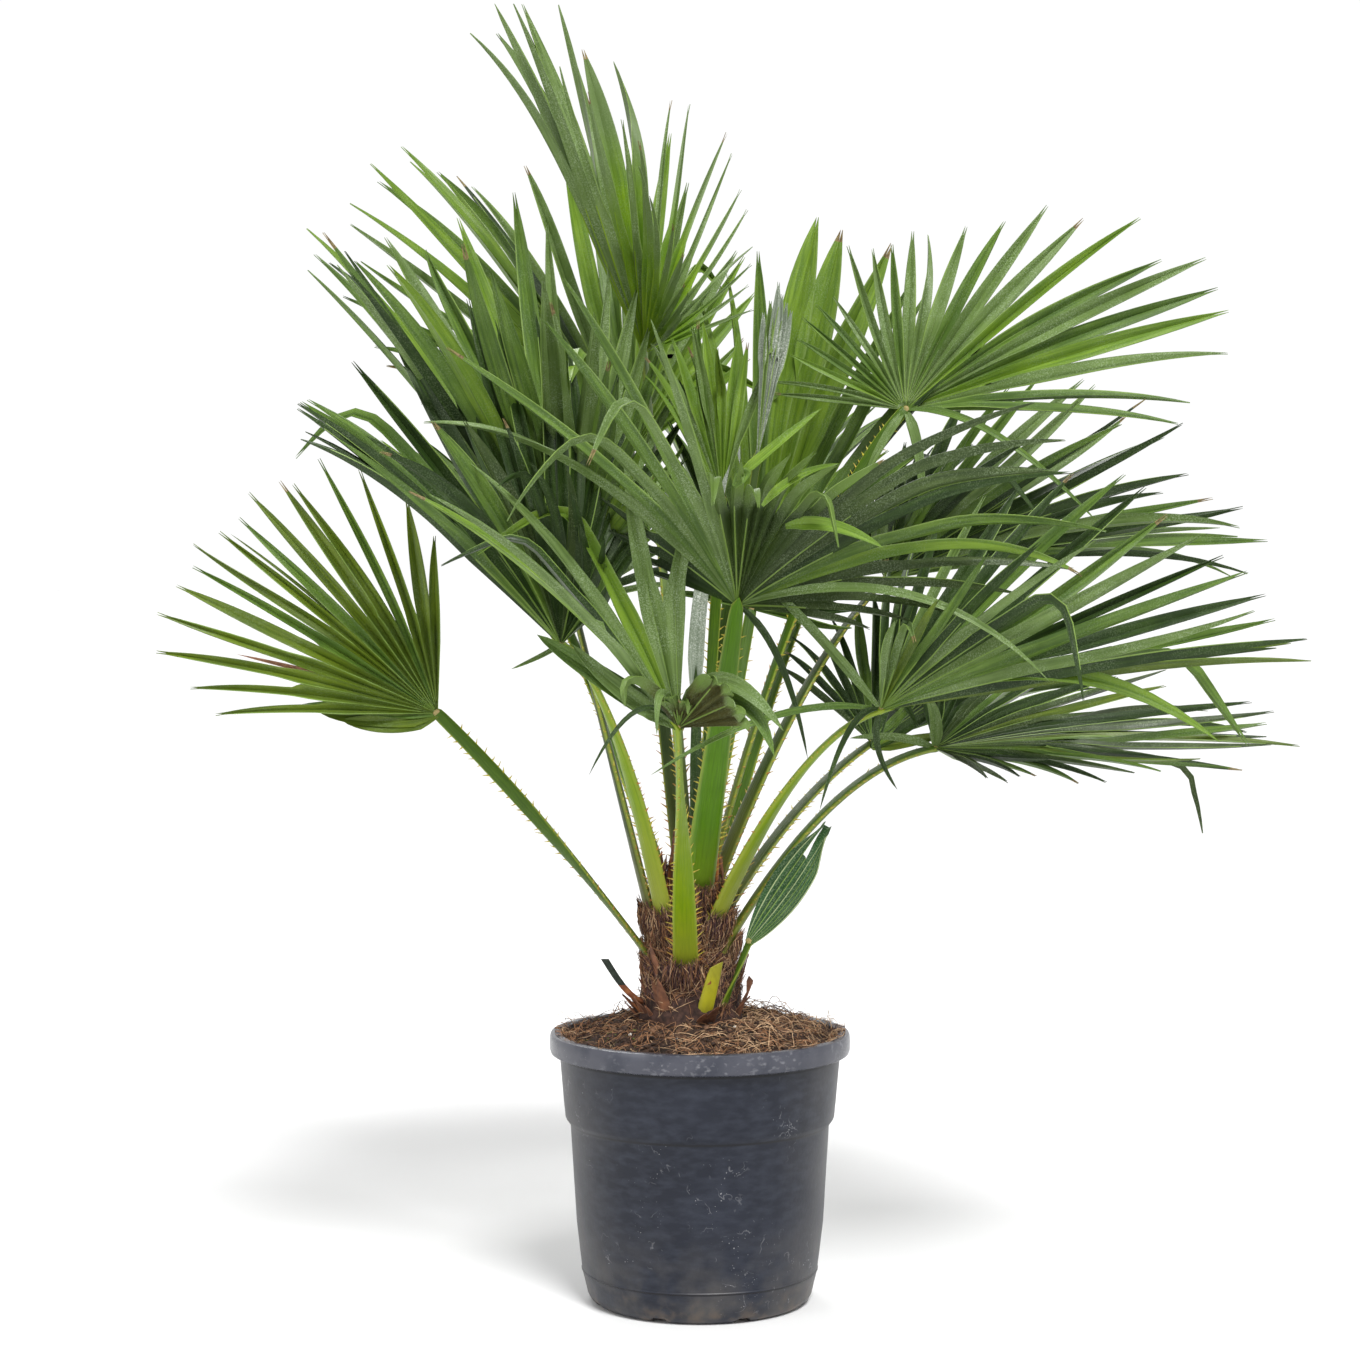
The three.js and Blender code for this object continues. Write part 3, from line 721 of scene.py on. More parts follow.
@dataclass(frozen=True)
class LeafPlan:
    """Sizes of one leaf, from the same values as its solids.

    foot and hub are the ends of the stalk, and lift raises its middle. aim is the middle rib's
    direction and face the upper side's. taper is the share, angle and power by which leaflets shorten,
    and slack shortens those past an angle, by one share there and another at the edge of the blade.
    finer multiplies the source's number of leaflets, slender narrows them and hold keeps their width
    towards the tip. edge_on is the share of leaflets on either side that are turned on their edge,
    scatter how far leaflets stray from the rule, and ribs the share of them with a paler rib.
    """

    name: str
    foot: Triple
    hub: Triple
    lift: float
    wide: float
    aim: Triple
    face: Triple
    spread: Pair
    fold: Pair
    count: int
    length: float
    taper: Triple
    sag: float
    tones: dict[Tone, int]
    web: float = 0.38
    finer: float = 1.35
    stalk: StalkFinish = STALK_GREEN
    kinks: float = 0.06
    teeth: bool = True
    slender: float = 0.88
    edge_on: Pair = (0.08, 0.08)
    hold: float = 3.0
    scatter: float = 1.0
    ribs: float = 0.4
    rib: Tone = Tone.RIB
    slack: Triple = (360.0, 1.0, 1.0)
    quirks: tuple[Quirk, ...] = ()

    def quirk(self, degrees: float) -> Quirk:
        """Give the quirk of the leaflet at an angle.

        Args:
            degrees: angle from the middle rib.

        Returns:
            The quirk, or one that changes nothing.
        """
        for quirk in self.quirks:
            if quirk.span[0] <= degrees < quirk.span[1]:
                return quirk
        return Quirk((0.0, 0.0))


GREY_TONES = {Tone.SILVER: 3, Tone.MID: 3, Tone.DARK: 3}
CROWN_TONES = {Tone.SILVER: 3, Tone.CROWN: 5}
MIXED_TONES = {Tone.MID: 6, Tone.DARK: 1, Tone.SILVER: 3, Tone.BRIGHT: 3}
BRIGHT_TONES = {Tone.BRIGHT: 3, Tone.MID: 4, Tone.SILVER: 2}
SHADE_TONES = {Tone.DARK: 7, Tone.MID: 1, Tone.GREY: 2}
LOW_TONES = {Tone.DARK: 6, Tone.MID: 4, Tone.GREY: 2, Tone.OLIVE: 1}

LEAVES = (
    LeafPlan("g", (-4, -18, 405), (33, -220, 703), 0, 34, (0.12, -0.66, 0.74), (0, 0.8, 0.6), (-95, 105),
        (30, 15), 22, 360, (0.3, 90, 6), 0.18, GREY_TONES, stalk=STALK_BROAD, kinks=0.08, slender=0.8,
        web=0.32, ribs=0.25, quirks=(
            Quirk((-96, -66), length=0.5, wide=0.6, tone=Tone.DARK),
            # g's middle leaflets: painted shade at their feet, painted light where they bend over
            Quirk((-18, -2), length=0.56, wide=0.85, elbow=8, curl=-8, tone=Tone.BENT_PAINTED_LIGHT),
            Quirk((-2, 26), length=0.62, wide=0.85, elbow=14, curl=-6, tone=Tone.BENT_PAINTED_LIGHT),
            Quirk((26, 44), wide=1.1, elbow=15, tone=Tone.GREY),
            Quirk((44, 62), web=1.15, elbow=12, curl=15),
            Quirk((62, 68), web=1.15, wide=1.1, curl=20, tone=Tone.BRIGHT),
            # painted shade: g's right side, which faces down, gets the darker grey tone
            Quirk((68, 106), web=1.35, tone=Tone.GREY),
        )),
    LeafPlan("j", (14, -26, 384), (170, -160, 603), 80, 25, (0.98, -0.1, 0.23), (-0.2, -0.2, 0.95),
        (-80, 80), (50, 50), 16, 394, (0.35, 58, 3), 0.06,
        {Tone.MID: 3, Tone.DARK: 5, Tone.SILVER: 1, Tone.OLIVE: 1}, finer=1.7, stalk=STALK_FRESH,
        slender=0.8, ribs=0.55, quirks=(
            Quirk((-81, -68), length=0.95, wide=1.2, tone=Tone.SILVER),
            Quirk((-68, 81), length=1.0, curl=-5),
        )),
    LeafPlan("d", (-34, -26, 384), (-134, -120, 664), 112, 25, (-0.66, -0.15, 0.73), (0.7, -0.3, 0.7),
        (-85, 85), (60, 60), 22, 342, (0.3, 70, 3), 0.06, SHADE_TONES, stalk=STALK_FRESH, slender=0.98,
        finer=1.6, quirks=(Quirk((-86, 5), length=1.06), Quirk((5, 86), length=0.92, aside=-12))),
    LeafPlan("e", (-14, -36, 336), (-21, -230, 590), 0, 26, (-0.6, -0.2, 0.8), (0.8, -0.2, 0.55), (-42, 110),
        (60, 60), 14, 330, (0.3, 75, 2), 0.12, MIXED_TONES, stalk=STALK_FRESH, kinks=0.15, slender=0.86,
        slack=(16, 0.45, 0.95), quirks=(
            Quirk((-43, -24), length=0.9, aside=-16),
            Quirk((8, 60), length=0.3, web=0.3, limp=60, tone=Tone.UNDER),
            Quirk((60, 111), length=0.62, web=1.3, wide=1.5, limp=45, tone=Tone.UNDER),
        )),
    LeafPlan("a", (-10, 17, 431), (-56, 60, 955), 0, 14, (-0.35, 0.05, 0.93), (0.85, -0.35, 0.36), (-90, 90),
        (50, 50), 22, 378, (0.3, 58, 2), 0.02, CROWN_TONES, stalk=STALK_PALE, kinks=0.0, web=0.32,
        slender=1.06, edge_on=(0.2, 0.2), hold=2.3, ribs=1.0, rib=Tone.HEART, quirks=(
            Quirk((-91, -24), length=0.94, wide=0.35, aside=5),
            Quirk((-24, 20), length=1.0, web=1.35, wide=1.2, aside=3),
            Quirk((20, 91), length=0.85, wide=0.62),
        )),
    LeafPlan("h", (10, 2, 426), (209, 60, 897), 130, 15, (0.9, 0.05, 0.44), (0, -1, 0.3), (-34, 148),
        (30, 5), 24, 330, (0.5, 36, 2), 0.06, {Tone.MID: 4, Tone.BRIGHT: 1, Tone.SILVER: 5},
        finer=1.0, kinks=0.02, web=0.28, slender=0.95, edge_on=(0.05, 0.15), scatter=0.8, ribs=1.0,
        rib=Tone.PALE, quirks=(
            Quirk((92, 149), length=0.85, wide=0.6),
            Quirk((-35, 92), length=1.06),
        )),
    LeafPlan("f", (-44, -6, 336), (-258, -60, 594), 20, 16, (-0.75, -0.1, 0.66), (0, -1, 0.2), (-51, 41),
        (10, 10), 18, 288, (0.5, 45, 4), 0.04, {Tone.OLIVE: 4, Tone.MID: 2}, finer=0.9,
        kinks=0.0, web=0.24, slender=0.7, edge_on=(0.05, 0.15), scatter=0.4, ribs=0.5, quirks=(
            Quirk((-52, -36), aside=-2, web=1.6, wide=1.3),
            Quirk((-36, -20), aside=9, web=0.9),
            Quirk((-20, 5), web=1.3, aside=2),
            Quirk((5, 25.5), web=1.9),
            Quirk((25.5, 31), web=1.9, length=0.9, wide=0.6, tone=Tone.OLIVE),
            Quirk((31, 42), web=1.7, length=0.9, wide=0.9, aside=5),
        )),
    LeafPlan("c", (-49, -2, 392), (-129, -20, 715), 0, 24, (-0.54, -0.05, 0.82), (0.78, -0.25, 0.6),
        (-80, 80), (60, 60), 22, 430, (0.3, 64, 3), 0.05, MIXED_TONES, slender=1.0, finer=1.6,
        stalk=STALK_SHADE, quirks=(Quirk((5, 81), length=0.96),)),
    LeafPlan("k", (26, -14, 362), (237, 20, 555), 80, 22, (0.95, 0.1, 0.11), (0, -0.3, 0.9), (-80, 86),
        (10, 10), 20, 345, (0.35, 42, 2), 0.08, LOW_TONES, finer=1.7, slender=0.8,
        quirks=(Quirk((-81, 87), length=1.03, curl=-7),)),
    LeafPlan("b", (-18, 24, 418), (-71, 200, 858), 10, 16, (-0.53, 0.1, 0.82), (0.75, -0.2, 0.6), (-85, 75),
        (60, -25), 20, 378, (0.35, 66, 3), 0.05,
        {Tone.MID: 4, Tone.BRIGHT: 3, Tone.SILVER: 3, Tone.DARK: 1}, stalk=STALK_GREY, slender=0.98,
        finer=1.6, quirks=(Quirk((-86, 76), length=1.05),)),
    LeafPlan("i", (12, 18, 410), (195, 150, 725), 70, 22, (0.98, 0.1, 0.21), (-0.1, -0.2, 1), (-100, 100),
        (50, 50), 22, 380, (0.35, 66, 3), 0.06, {Tone.MID: 4, Tone.DARK: 3, Tone.SILVER: 2},
        finer=1.7, slender=0.8, stalk=STALK_SHADE, quirks=(Quirk((55, 101), length=0.8),)),
    LeafPlan("o", (4, 18, 424), (54, 112, 693), 0, 14, (0.22, 0.1, 0.95), (0.1, -0.9, 0.3), (-95, 95),
        (40, 40), 20, 405, (0.3, 45, 2), 0.04, {Tone.DARK: 3, Tone.MID: 2, Tone.BRIGHT: 2},
        quirks=(Quirk((-6, 9), length=1.05, web=1.6, wide=1.9, tone=Tone.BRIGHT),)),
    LeafPlan("n", (0, 8, 434), (22, 14, 805), 0, 12, (-0.15, 0.05, 1), (0.2, -0.9, 0.2), (-28, 28),
        (30, 30), 8, 180, (0.6, 30, 2), 0, BRIGHT_TONES),
    LeafPlan("l", (18, 6, 380), (183, 170, 551), 40, 18, (0.75, 0.55, 0.3), (-0.4, -0.4, 0.8), (-100, 100),
        (40, 40), 20, 320, (0.4, 60, 2), 0.06, SHADE_TONES, stalk=STALK_SHADE),
    LeafPlan("p", (-30, 24, 395), (-150, 230, 690), 30, 18, (-0.5, 0.6, 0.6), (0.4, -0.4, 0.8), (-110, 110),
        (40, 40), 20, 310, (0.4, 70, 2), 0.06, MIXED_TONES),
    LeafPlan("q", (-8, 26, 405), (40, 300, 740), 40, 18, (0.1, 0.8, 0.6), (0, -0.5, 0.8), (-110, 110),
        (35, 35), 20, 330, (0.4, 70, 2), 0.06, MIXED_TONES),
    LeafPlan("r", (8, 28, 385), (120, 330, 700), 40, 18, (0.4, 0.8, 0.4), (-0.3, -0.3, 0.9), (-110, 110),
        (35, 35), 20, 330, (0.4, 70, 2), 0.06, SHADE_TONES),
    LeafPlan("spear", (-6, -5, 432), (57, 0, 845), 0, 9, (0.14, 0.02, 1), (0.3, -0.9, 0), (-7, 7),
        (0, 0), 4, 172, (0.7, 9, 2), 0, {Tone.DOWN: 3, Tone.SILVER: 1}, web=0.6, finer=1.5,
        stalk=STALK_GREY, kinks=0.0, teeth=False),
)
YOUNG = LeafPlan("young", (20, -34, 294), (48, -56, 368), 0, 9, (0.56, -0.1, 0.82), (-0.6, -0.7, 0.3),
                 (-15, 15), (20, 20), 6, 142, (0.6, 16, 2), 0.02, {Tone.DEEP: 1}, web=0.72, finer=1.0,
                 kinks=0.0, teeth=False)


@dataclass
class Fan:
    """The rule by which the leaflets of one leaf lie, as in the part's source.

    gather draws the leaflets together in the middle, and fold_run is the angle past which the halves
    of the blade rise in full.
    """

    plan: LeafPlan
    gather: float = 1.15
    fold_run: float = 40.0

    def __post_init__(self) -> None:
        """Work out the leaf's own directions."""
        self.hub = Vector(self.plan.hub)
        self.aim = Vector(self.plan.aim).normalized()
        face = Vector(self.plan.face)
        self.face = (face - self.aim * face.dot(self.aim)).normalized()
        self.across = self.face.cross(self.aim)

    def angle(self, place: float, count: int) -> float:
        """Give the angle at a place in the row of leaflets.

        Args:
            place: 0 to count.
            count: number of leaflets.

        Returns:
            Degrees from the middle rib.
        """
        first, last = self.plan.spread
        even = first + (last - first) * place / count
        limit = first if even < 0 else last
        return limit * abs(even / limit) ** self.gather

    def ray(self, degrees: float) -> Vector:
        """Give the direction of a leaflet.

        Args:
            degrees: angle from the middle rib.

        Returns:
            The direction.
        """
        angle = math.radians(degrees)
        full = self.plan.fold[0] if degrees < 0 else self.plan.fold[1]
        fold = math.radians(full) * smooth(abs(degrees) / self.fold_run)
        inward = self.across * (math.sin(angle) * math.cos(fold))
        return self.aim * math.cos(angle) + inward + self.face * (abs(math.sin(angle)) * math.sin(fold))

    def axes(self, degrees: float) -> tuple[Vector, Vector, Vector]:
        """Give a leaflet's own directions.

        Args:
            degrees: angle from the middle rib.

        Returns:
            Along, up and sideways.
        """
        ray = self.ray(degrees)
        sideways = self.ray(degrees + 0.5) - self.ray(degrees - 0.5)
        up = ray.cross(sideways).normalized()
        return ray, up, up.cross(ray)

    def reach(self, degrees: float) -> float:
        """Give the length of a leaflet from the hub.

        Args:
            degrees: angle from the middle rib.

        Returns:
            The length.
        """
        share, width, power = self.plan.taper
        reach = self.plan.length * (share + (1 - share) * math.exp(-((abs(degrees) / width) ** power)))
        start, least, most = self.plan.slack
        if degrees > start:
            reach *= least + (most - least) * (degrees - start) / (self.plan.spread[1] - start)
        return reach

    def point(self, degrees: float, radius: float, rise: float) -> Vector:
        """Give a point of the blade.

        Args:
            degrees: angle from the middle rib.
            radius: distance from the hub.
            rise: height over the blade's middle.

        Returns:
            The point.
        """
        ray, up, _ = self.axes(degrees)
        at = self.hub + ray * radius + up * rise
        at.z -= self.plan.sag * radius * radius / self.plan.length
        return at


@dataclass
class Habit:
    """How one leaflet departs from its fan's rule."""

    tone: Tone
    length: float = 1.0
    aside: float = 0.0
    elbow: float = 0.0
    slope: float = 0.0
    curl: float = 0.0
    twist: float = 0.0
    kink_at: float = 2.0
    kink: float = 0.0
    vee: float = 32.0
    limp: float = 0.0
    wide: float = 1.0
    ribbed: bool = True
    edged: int = 0
    rib_rows: int = 9
    heart_rows: int = 0
    dry: bool = False


@dataclass
class Station:
    """A place along a leaflet with its own directions."""

    at: Vector
    along: Vector
    side: Vector
    up: Vector


@dataclass
class Frond:
    """The blade of one leaf: pleated at the heart, then split into long folded leaflets.

    full_length is the reach at which a leaflet is leaflet_half wide on either side of its rib.
    """

    plan: LeafPlan
    full_length: float = 350.0
    leaflet_half: float = 10.5
    heart_radius: float = 2.5
    rib_half: float = 0.5
    tip_gap: float = 0.9
    max_pleat: float = 8.0
    columns: int = 4
    web_rows: int = 7
    free_rows: int = 14
    dry_share: float = 0.16

    def __post_init__(self) -> None:
        """Settle the leaflets."""
        plan = self.plan
        self.fan = Fan(plan)
        self.chance = random.Random(f"frond {plan.name}")
        self.count = max(4, round(plan.count * plan.finer))
        special = [quirk.tone for quirk in plan.quirks if quirk.tone]
        usual = [plan.rib, Tone.RIB, Tone.HEART, Tone.DRY]
        self.tones = list(dict.fromkeys([*plan.tones, *special, *usual]))
        self.habits = [self.habit(index) for index in range(self.count)]
        self.splits = [self.split(index) for index in range(self.count + 1)]

    def habit(self, index: int) -> Habit:
        """Draw one leaflet's own way of growing.

        Args:
            index: place in the row.

        Returns:
            The habit.
        """
        chance = self.chance
        tone = chance.choices(list(self.plan.tones), list(self.plan.tones.values()))[0]
        kinked = chance.random() < self.plan.kinks
        degrees = self.fan.angle(index + 0.5, self.count)
        quirk = self.plan.quirk(degrees)
        turned_over = chance.random() < self.plan.edge_on[0 if degrees < 0 else 1]
        loose = 0.0 if self.plan.name == "spear" else self.plan.scatter
        twist = chance.choice((-1, 1)) * chance.uniform(50, 95) if turned_over else chance.gauss(0, 20)
        return Habit(
            tone=quirk.tone or tone,
            length=chance.uniform(0.93, 1.05) * quirk.length,
            aside=chance.gauss(0, 3.4) * loose + quirk.aside * chance.uniform(0.8, 1.2),
            elbow=quirk.elbow * chance.uniform(0.7, 1.3),
            slope=chance.gauss(0, 2.2) * loose,
            curl=chance.gauss(6, 8) * loose + quirk.curl * chance.uniform(0.7, 1.3),
            twist=twist if loose else 0.0,
            kink_at=chance.uniform(0.45, 0.8) if kinked else 2.0,
            kink=chance.uniform(70, 150),
            vee=chance.uniform(25, 54),
            limp=quirk.limp * chance.uniform(0.6, 1.2),
            wide=quirk.wide * chance.uniform(0.9, 1.1),
            ribbed=chance.random() < self.plan.ribs,
            edged=chance.choice((-1, 0, 1)),
            rib_rows=self.web_rows + chance.randint(-1, 4),
            heart_rows=chance.choice((1, 1, 2)) if self.plan.rib is Tone.HEART else 0,
            dry=chance.random() < self.dry_share,
        )

    def split(self, index: int) -> float:
        """Give how far from the hub two neighbours stay joined.

        Args:
            index: the boundary's place in the row.

        Returns:
            The radius.
        """
        degrees = self.fan.angle(index, self.count)
        web = self.plan.web * self.plan.quirk(degrees).web
        return self.fan.reach(degrees) * web * (1 + self.chance.uniform(-0.14, 0.1))

    def web_radius(self, split: float, row: int) -> float:
        """Give a web row's distance from the hub; the last row lies at the split."""
        return self.heart_radius + (split - self.heart_radius) * row / self.web_rows

    def pleat(self, degrees: float, step: float, radius: float) -> float:
        """Give half the height of a pleat.

        Args:
            degrees: angle from the middle rib.
            step: angle of one leaflet.
            radius: distance from the hub.

        Returns:
            Half the height.
        """
        reach = self.fan.reach(degrees)
        half_step = math.radians(step) / 2
        widest = self.leaflet_half * math.sqrt(reach / self.full_length)
        ratio = widest / max(TINY, reach * self.plan.web * half_step)
        ratio = min(2.0, max(1.06, ratio))
        rise = radius * half_step * math.sqrt(ratio * ratio - 1)
        return min(self.max_pleat, rise) / 2

    def spine(self, index: int) -> list[Station]:
        """March along the middle of a leaflet, from the hub to its tip.

        Args:
            index: place in the row.

        Returns:
            The stations, web rows first.
        """
        fan = self.fan
        habit = self.habits[index]
        degrees = fan.angle(index + 0.5, self.count)
        step = fan.angle(index + 1, self.count) - fan.angle(index, self.count)
        split = (self.splits[index] + self.splits[index + 1]) / 2
        ray, up, side = fan.axes(degrees)
        stations = []
        for row in range(self.web_rows + 1):
            radius = self.web_radius(split, row)
            rise = -self.pleat(degrees, step, radius)
            stations.append(Station(fan.point(degrees, radius, rise), ray.copy(), side.copy(), up.copy()))
        reach = fan.reach(degrees) * habit.length
        run = max(20.0, reach - split) / self.free_rows
        at = stations[-1].at.copy()
        along = ray.copy()
        along.z -= 2 * self.plan.sag * split / self.plan.length
        along = turned(along.normalized(), side, habit.slope)
        for row in range(self.free_rows):
            share = (row + 0.5) / self.free_rows
            along = turned(along, side, habit.curl * 2 * share / self.free_rows)
            across = habit.aside * (1 - share) * 2 / self.free_rows
            across += habit.elbow * max(0.0, 1 - abs(share - 0.5) * 6) / 2.3
            along = turned(along, up, across)
            along.z -= 2 * self.plan.sag * run / self.plan.length
            along.normalize()
            droop = habit.kink * max(0.0, 1 - abs(share - habit.kink_at) * 6) / 3
            droop += habit.limp * share / self.free_rows * 2
            if droop:
                level = along.cross(UP) if abs(along.z) < 0.98 else side
                room = math.degrees(along.angle(-UP))
                along = turned(along, level.normalized(), -min(droop, room * 0.7))
            up = turned((up - along * up.dot(along)).normalized(), along, habit.twist / self.free_rows)
            side = up.cross(along)
            at = at + along * run
            stations.append(Station(at.copy(), along.copy(), side.copy(), up.copy()))
        return stations

    def grow_leaflet(self, bm: Mesh, index: int, layer: Layer) -> None:
        """Add one leaflet as two half strips that meet at the rib.

        Args:
            bm: the mesh that grows.
            index: place in the row.
            layer: the attribute that the veins follow.
        """
        fan = self.fan
        habit = self.habits[index]
        stations = self.spine(index)
        rows = len(stations) - 1
        step = fan.angle(index + 1, self.count) - fan.angle(index, self.count)
        middle = fan.angle(index + 0.5, self.count)
        length = (stations[-1].at - stations[0].at).length
        size = habit.wide * math.sqrt(fan.reach(middle) / self.full_length)
        target = self.leaflet_half * self.plan.slender * size
        for hand in (-1, 1):
            boundary = index if hand < 0 else index + 1
            degrees = fan.angle(boundary, self.count)
            split = self.splits[boundary]
            edges = []
            for row in range(self.web_rows + 1):
                radius = self.web_radius(split, row)
                edges.append(fan.point(degrees, radius, self.pleat(degrees, step, radius)))
            start = edges[-1] - stations[self.web_rows].at
            for row in range(1, self.free_rows + 1):
                station = stations[self.web_rows + row]
                share = row / self.free_rows
                full = start.length + (target - start.length) * smooth(share * 4)
                width = full * (1 - share ** self.plan.hold) ** 0.85 * (1 + 0.12 * math.sin(math.pi * share))
                vee = math.radians(habit.vee)
                own = station.side * (hand * math.cos(vee)) + station.up * math.sin(vee)
                lead = start.normalized().lerp(own, smooth(share * 3.2)).normalized()
                edges.append(station.at + lead * width)
            cells = self.half_strip(bm, stations, edges, hand, habit)
            for vert, (column, row) in cells.items():
                reach = row / rows * length
                vert[layer] = (hand * self.inward(column, hand) * target + index * 61, reach, row / rows)
            self.paint(cells, habit, hand, rows)

    def inward(self, column: int, hand: int) -> int:
        """Count a column from the rib."""
        return column if hand < 0 else self.columns - column

    def half_strip(
        self, bm: Mesh, stations: list[Station], edges: list[Vector], hand: int, habit: Habit
    ) -> Cells:
        """Lay one half of a leaflet.

        Args:
            bm: the mesh that grows.
            stations: the rib.
            edges: the outer edge, row by row.
            hand: -1 for the left half and 1 for the right.
            habit: the leaflet's habit.

        Returns:
            The column and row of each corner.
        """
        rows = len(stations) - 1

        def place(column: int, row: int) -> Vector:
            """Give the point of a column and row.

            Args:
                column: place across.
                row: place along.

            Returns:
                The point.
            """
            inward = self.inward(column, hand)
            rib = stations[row].at
            if row == rows:
                return rib + stations[row].side * (hand * self.tip_gap)
            out = edges[row] - rib
            size = max(out.length, TINY)
            slim = self.rib_half * max(0.1, 1 - row / (habit.rib_rows + 1))
            share = (0.0, min(0.4, slim / size), 0.5, 0.88, 1.0)[inward]
            camber = stations[row].up * (0.07 * size * math.sin(math.pi * share))
            return rib + out * share + camber

        return lay_strip(bm, self.columns, rows, place)

    def paint(self, cells: Cells, habit: Habit, hand: int, rows: int) -> None:
        """Deal the leaflet's colours to its faces.

        Args:
            cells: the corners of a half strip.
            habit: the leaflet's habit.
            hand: -1 for the left half and 1 for the right.
            rows: faces along.
        """
        for face, (column, row) in faces_of(cells).items():
            inward = column if hand < 0 else self.columns - 1 - column
            tone = habit.tone
            if row < habit.heart_rows:
                tone = Tone.HEART
            elif habit.ribbed and inward == 0 and row < habit.rib_rows:
                tone = self.plan.rib
            elif habit.edged == hand and inward == self.columns - 1 and row < rows - 2:
                tone = Tone.RIB
            elif habit.dry and row >= rows - 1:
                tone = Tone.DRY
            face.material_index = self.tones.index(tone)

    def build(self) -> Piece:
        """Model and dress the blade.

        Returns:
            The piece.
        """
        bm = bmesh.new()
        layer = bm.verts.layers.float_vector.new("vein")
        for index in range(self.count):
            self.grow_leaflet(bm, index, layer)
        weld(bm)
        name = self.plan.name
        slot = Slot.SPEAR if name == "spear" else Slot.LEAF
        return finish_blade(bm, f"frond_{name}", self.tones, slot, (f"blade_{name}",))


@dataclass
class YoungBlade:
    """A young leaf that is still whole, with pale ribs in fine pleats and a slit at its tip."""

    plan: LeafPlan = YOUNG
    panels: int = 8
    rows: int = 26
    half_width: float = 24.0
    pleat: float = 1.3
    rib_half: float = 0.02
    cup: float = 9.0
    bow: float = 7.0
    lobes: Pair = (-0.12, 0.66)
    lobe_split: float = 0.25
    late_start: float = 0.7
    pale_ribs: tuple[int, ...] = (0, 4, 7)
    slit_panel: int = 5

    def __post_init__(self) -> None:
        """Work out the leaf's own directions."""
        self.fan = Fan(self.plan)

    def across(self, column: int) -> float:
        """Give a column's place; each panel has a narrow rib, its middle and a fold.

        Args:
            column: place in the row of columns.

        Returns:
            The place, -1 to 1.
        """
        panel, part = divmod(column, 3)
        start = panel / self.panels * 2 - 1
        return start + (0.0, self.rib_half, 1 / self.panels)[part]

    def place(self, column: int, row: int) -> Vector:
        """Give a point of the blade.

        Args:
            column: place across.
            row: place along.

        Returns:
            The point.
        """
        fan = self.fan
        along = row / self.rows
        across = self.across(column)
        late = smooth((along - self.late_start) / 0.3)
        lobe = self.lobes[0] if across < self.lobe_split else self.lobes[1]
        lobed = across + (lobe - across) * late * 0.75
        reach = (self.plan.length - 9 * abs(across - lobe)) * along
        width = self.half_width * math.sin(math.pi * min(1.0, 0.04 + 0.86 * along)) ** 0.75
        rise = self.pleat * (1 if column % 3 < 2 else -1) * math.sin(math.pi * min(1.0, along * 1.1))
        cup = self.cup * across * across * math.sin(math.pi * along)
        bow = fan.across * (-self.bow * math.sin(math.pi * along))
        spread = width if along < self.late_start else max(width, self.half_width * 0.5)
        return fan.hub + fan.aim * reach + fan.across * (lobed * spread) + fan.face * (rise + cup) + bow

    def build(self) -> Piece:
        """Model and dress the blade.

        Returns:
            The piece.
        """
        bm = bmesh.new()
        layer = bm.verts.layers.float_vector.new("vein")
        cells = lay_strip(bm, self.panels * 3, self.rows, self.place)
        for vert, (column, row) in cells.items():
            vert[layer] = (column * 12.0, row * 5.5, row / self.rows)
        slit = []
        for face, (column, row) in faces_of(cells).items():
            panel, part = divmod(column, 3)
            if part == 0:
                face.material_index = 1 if panel in self.pale_ribs else 2
            if panel == self.slit_panel and row > self.rows * self.late_start:
                slit.append(face)
        bmesh.ops.delete(bm, geom=slit, context="FACES")
        tones = [Tone.DEEP, Tone.PALE, Tone.RIB]
        return finish_blade(bm, "frond_young", tones, replaced=("blade_young",))


@dataclass(frozen=True)
class Stray:
    """A loose leaflet from its leaf's hub, or another start, over a bend to its end."""

    leaf: str
    via: Triple
    end: Triple
    wide: float
    tone: Tone
    start: Triple | None = None


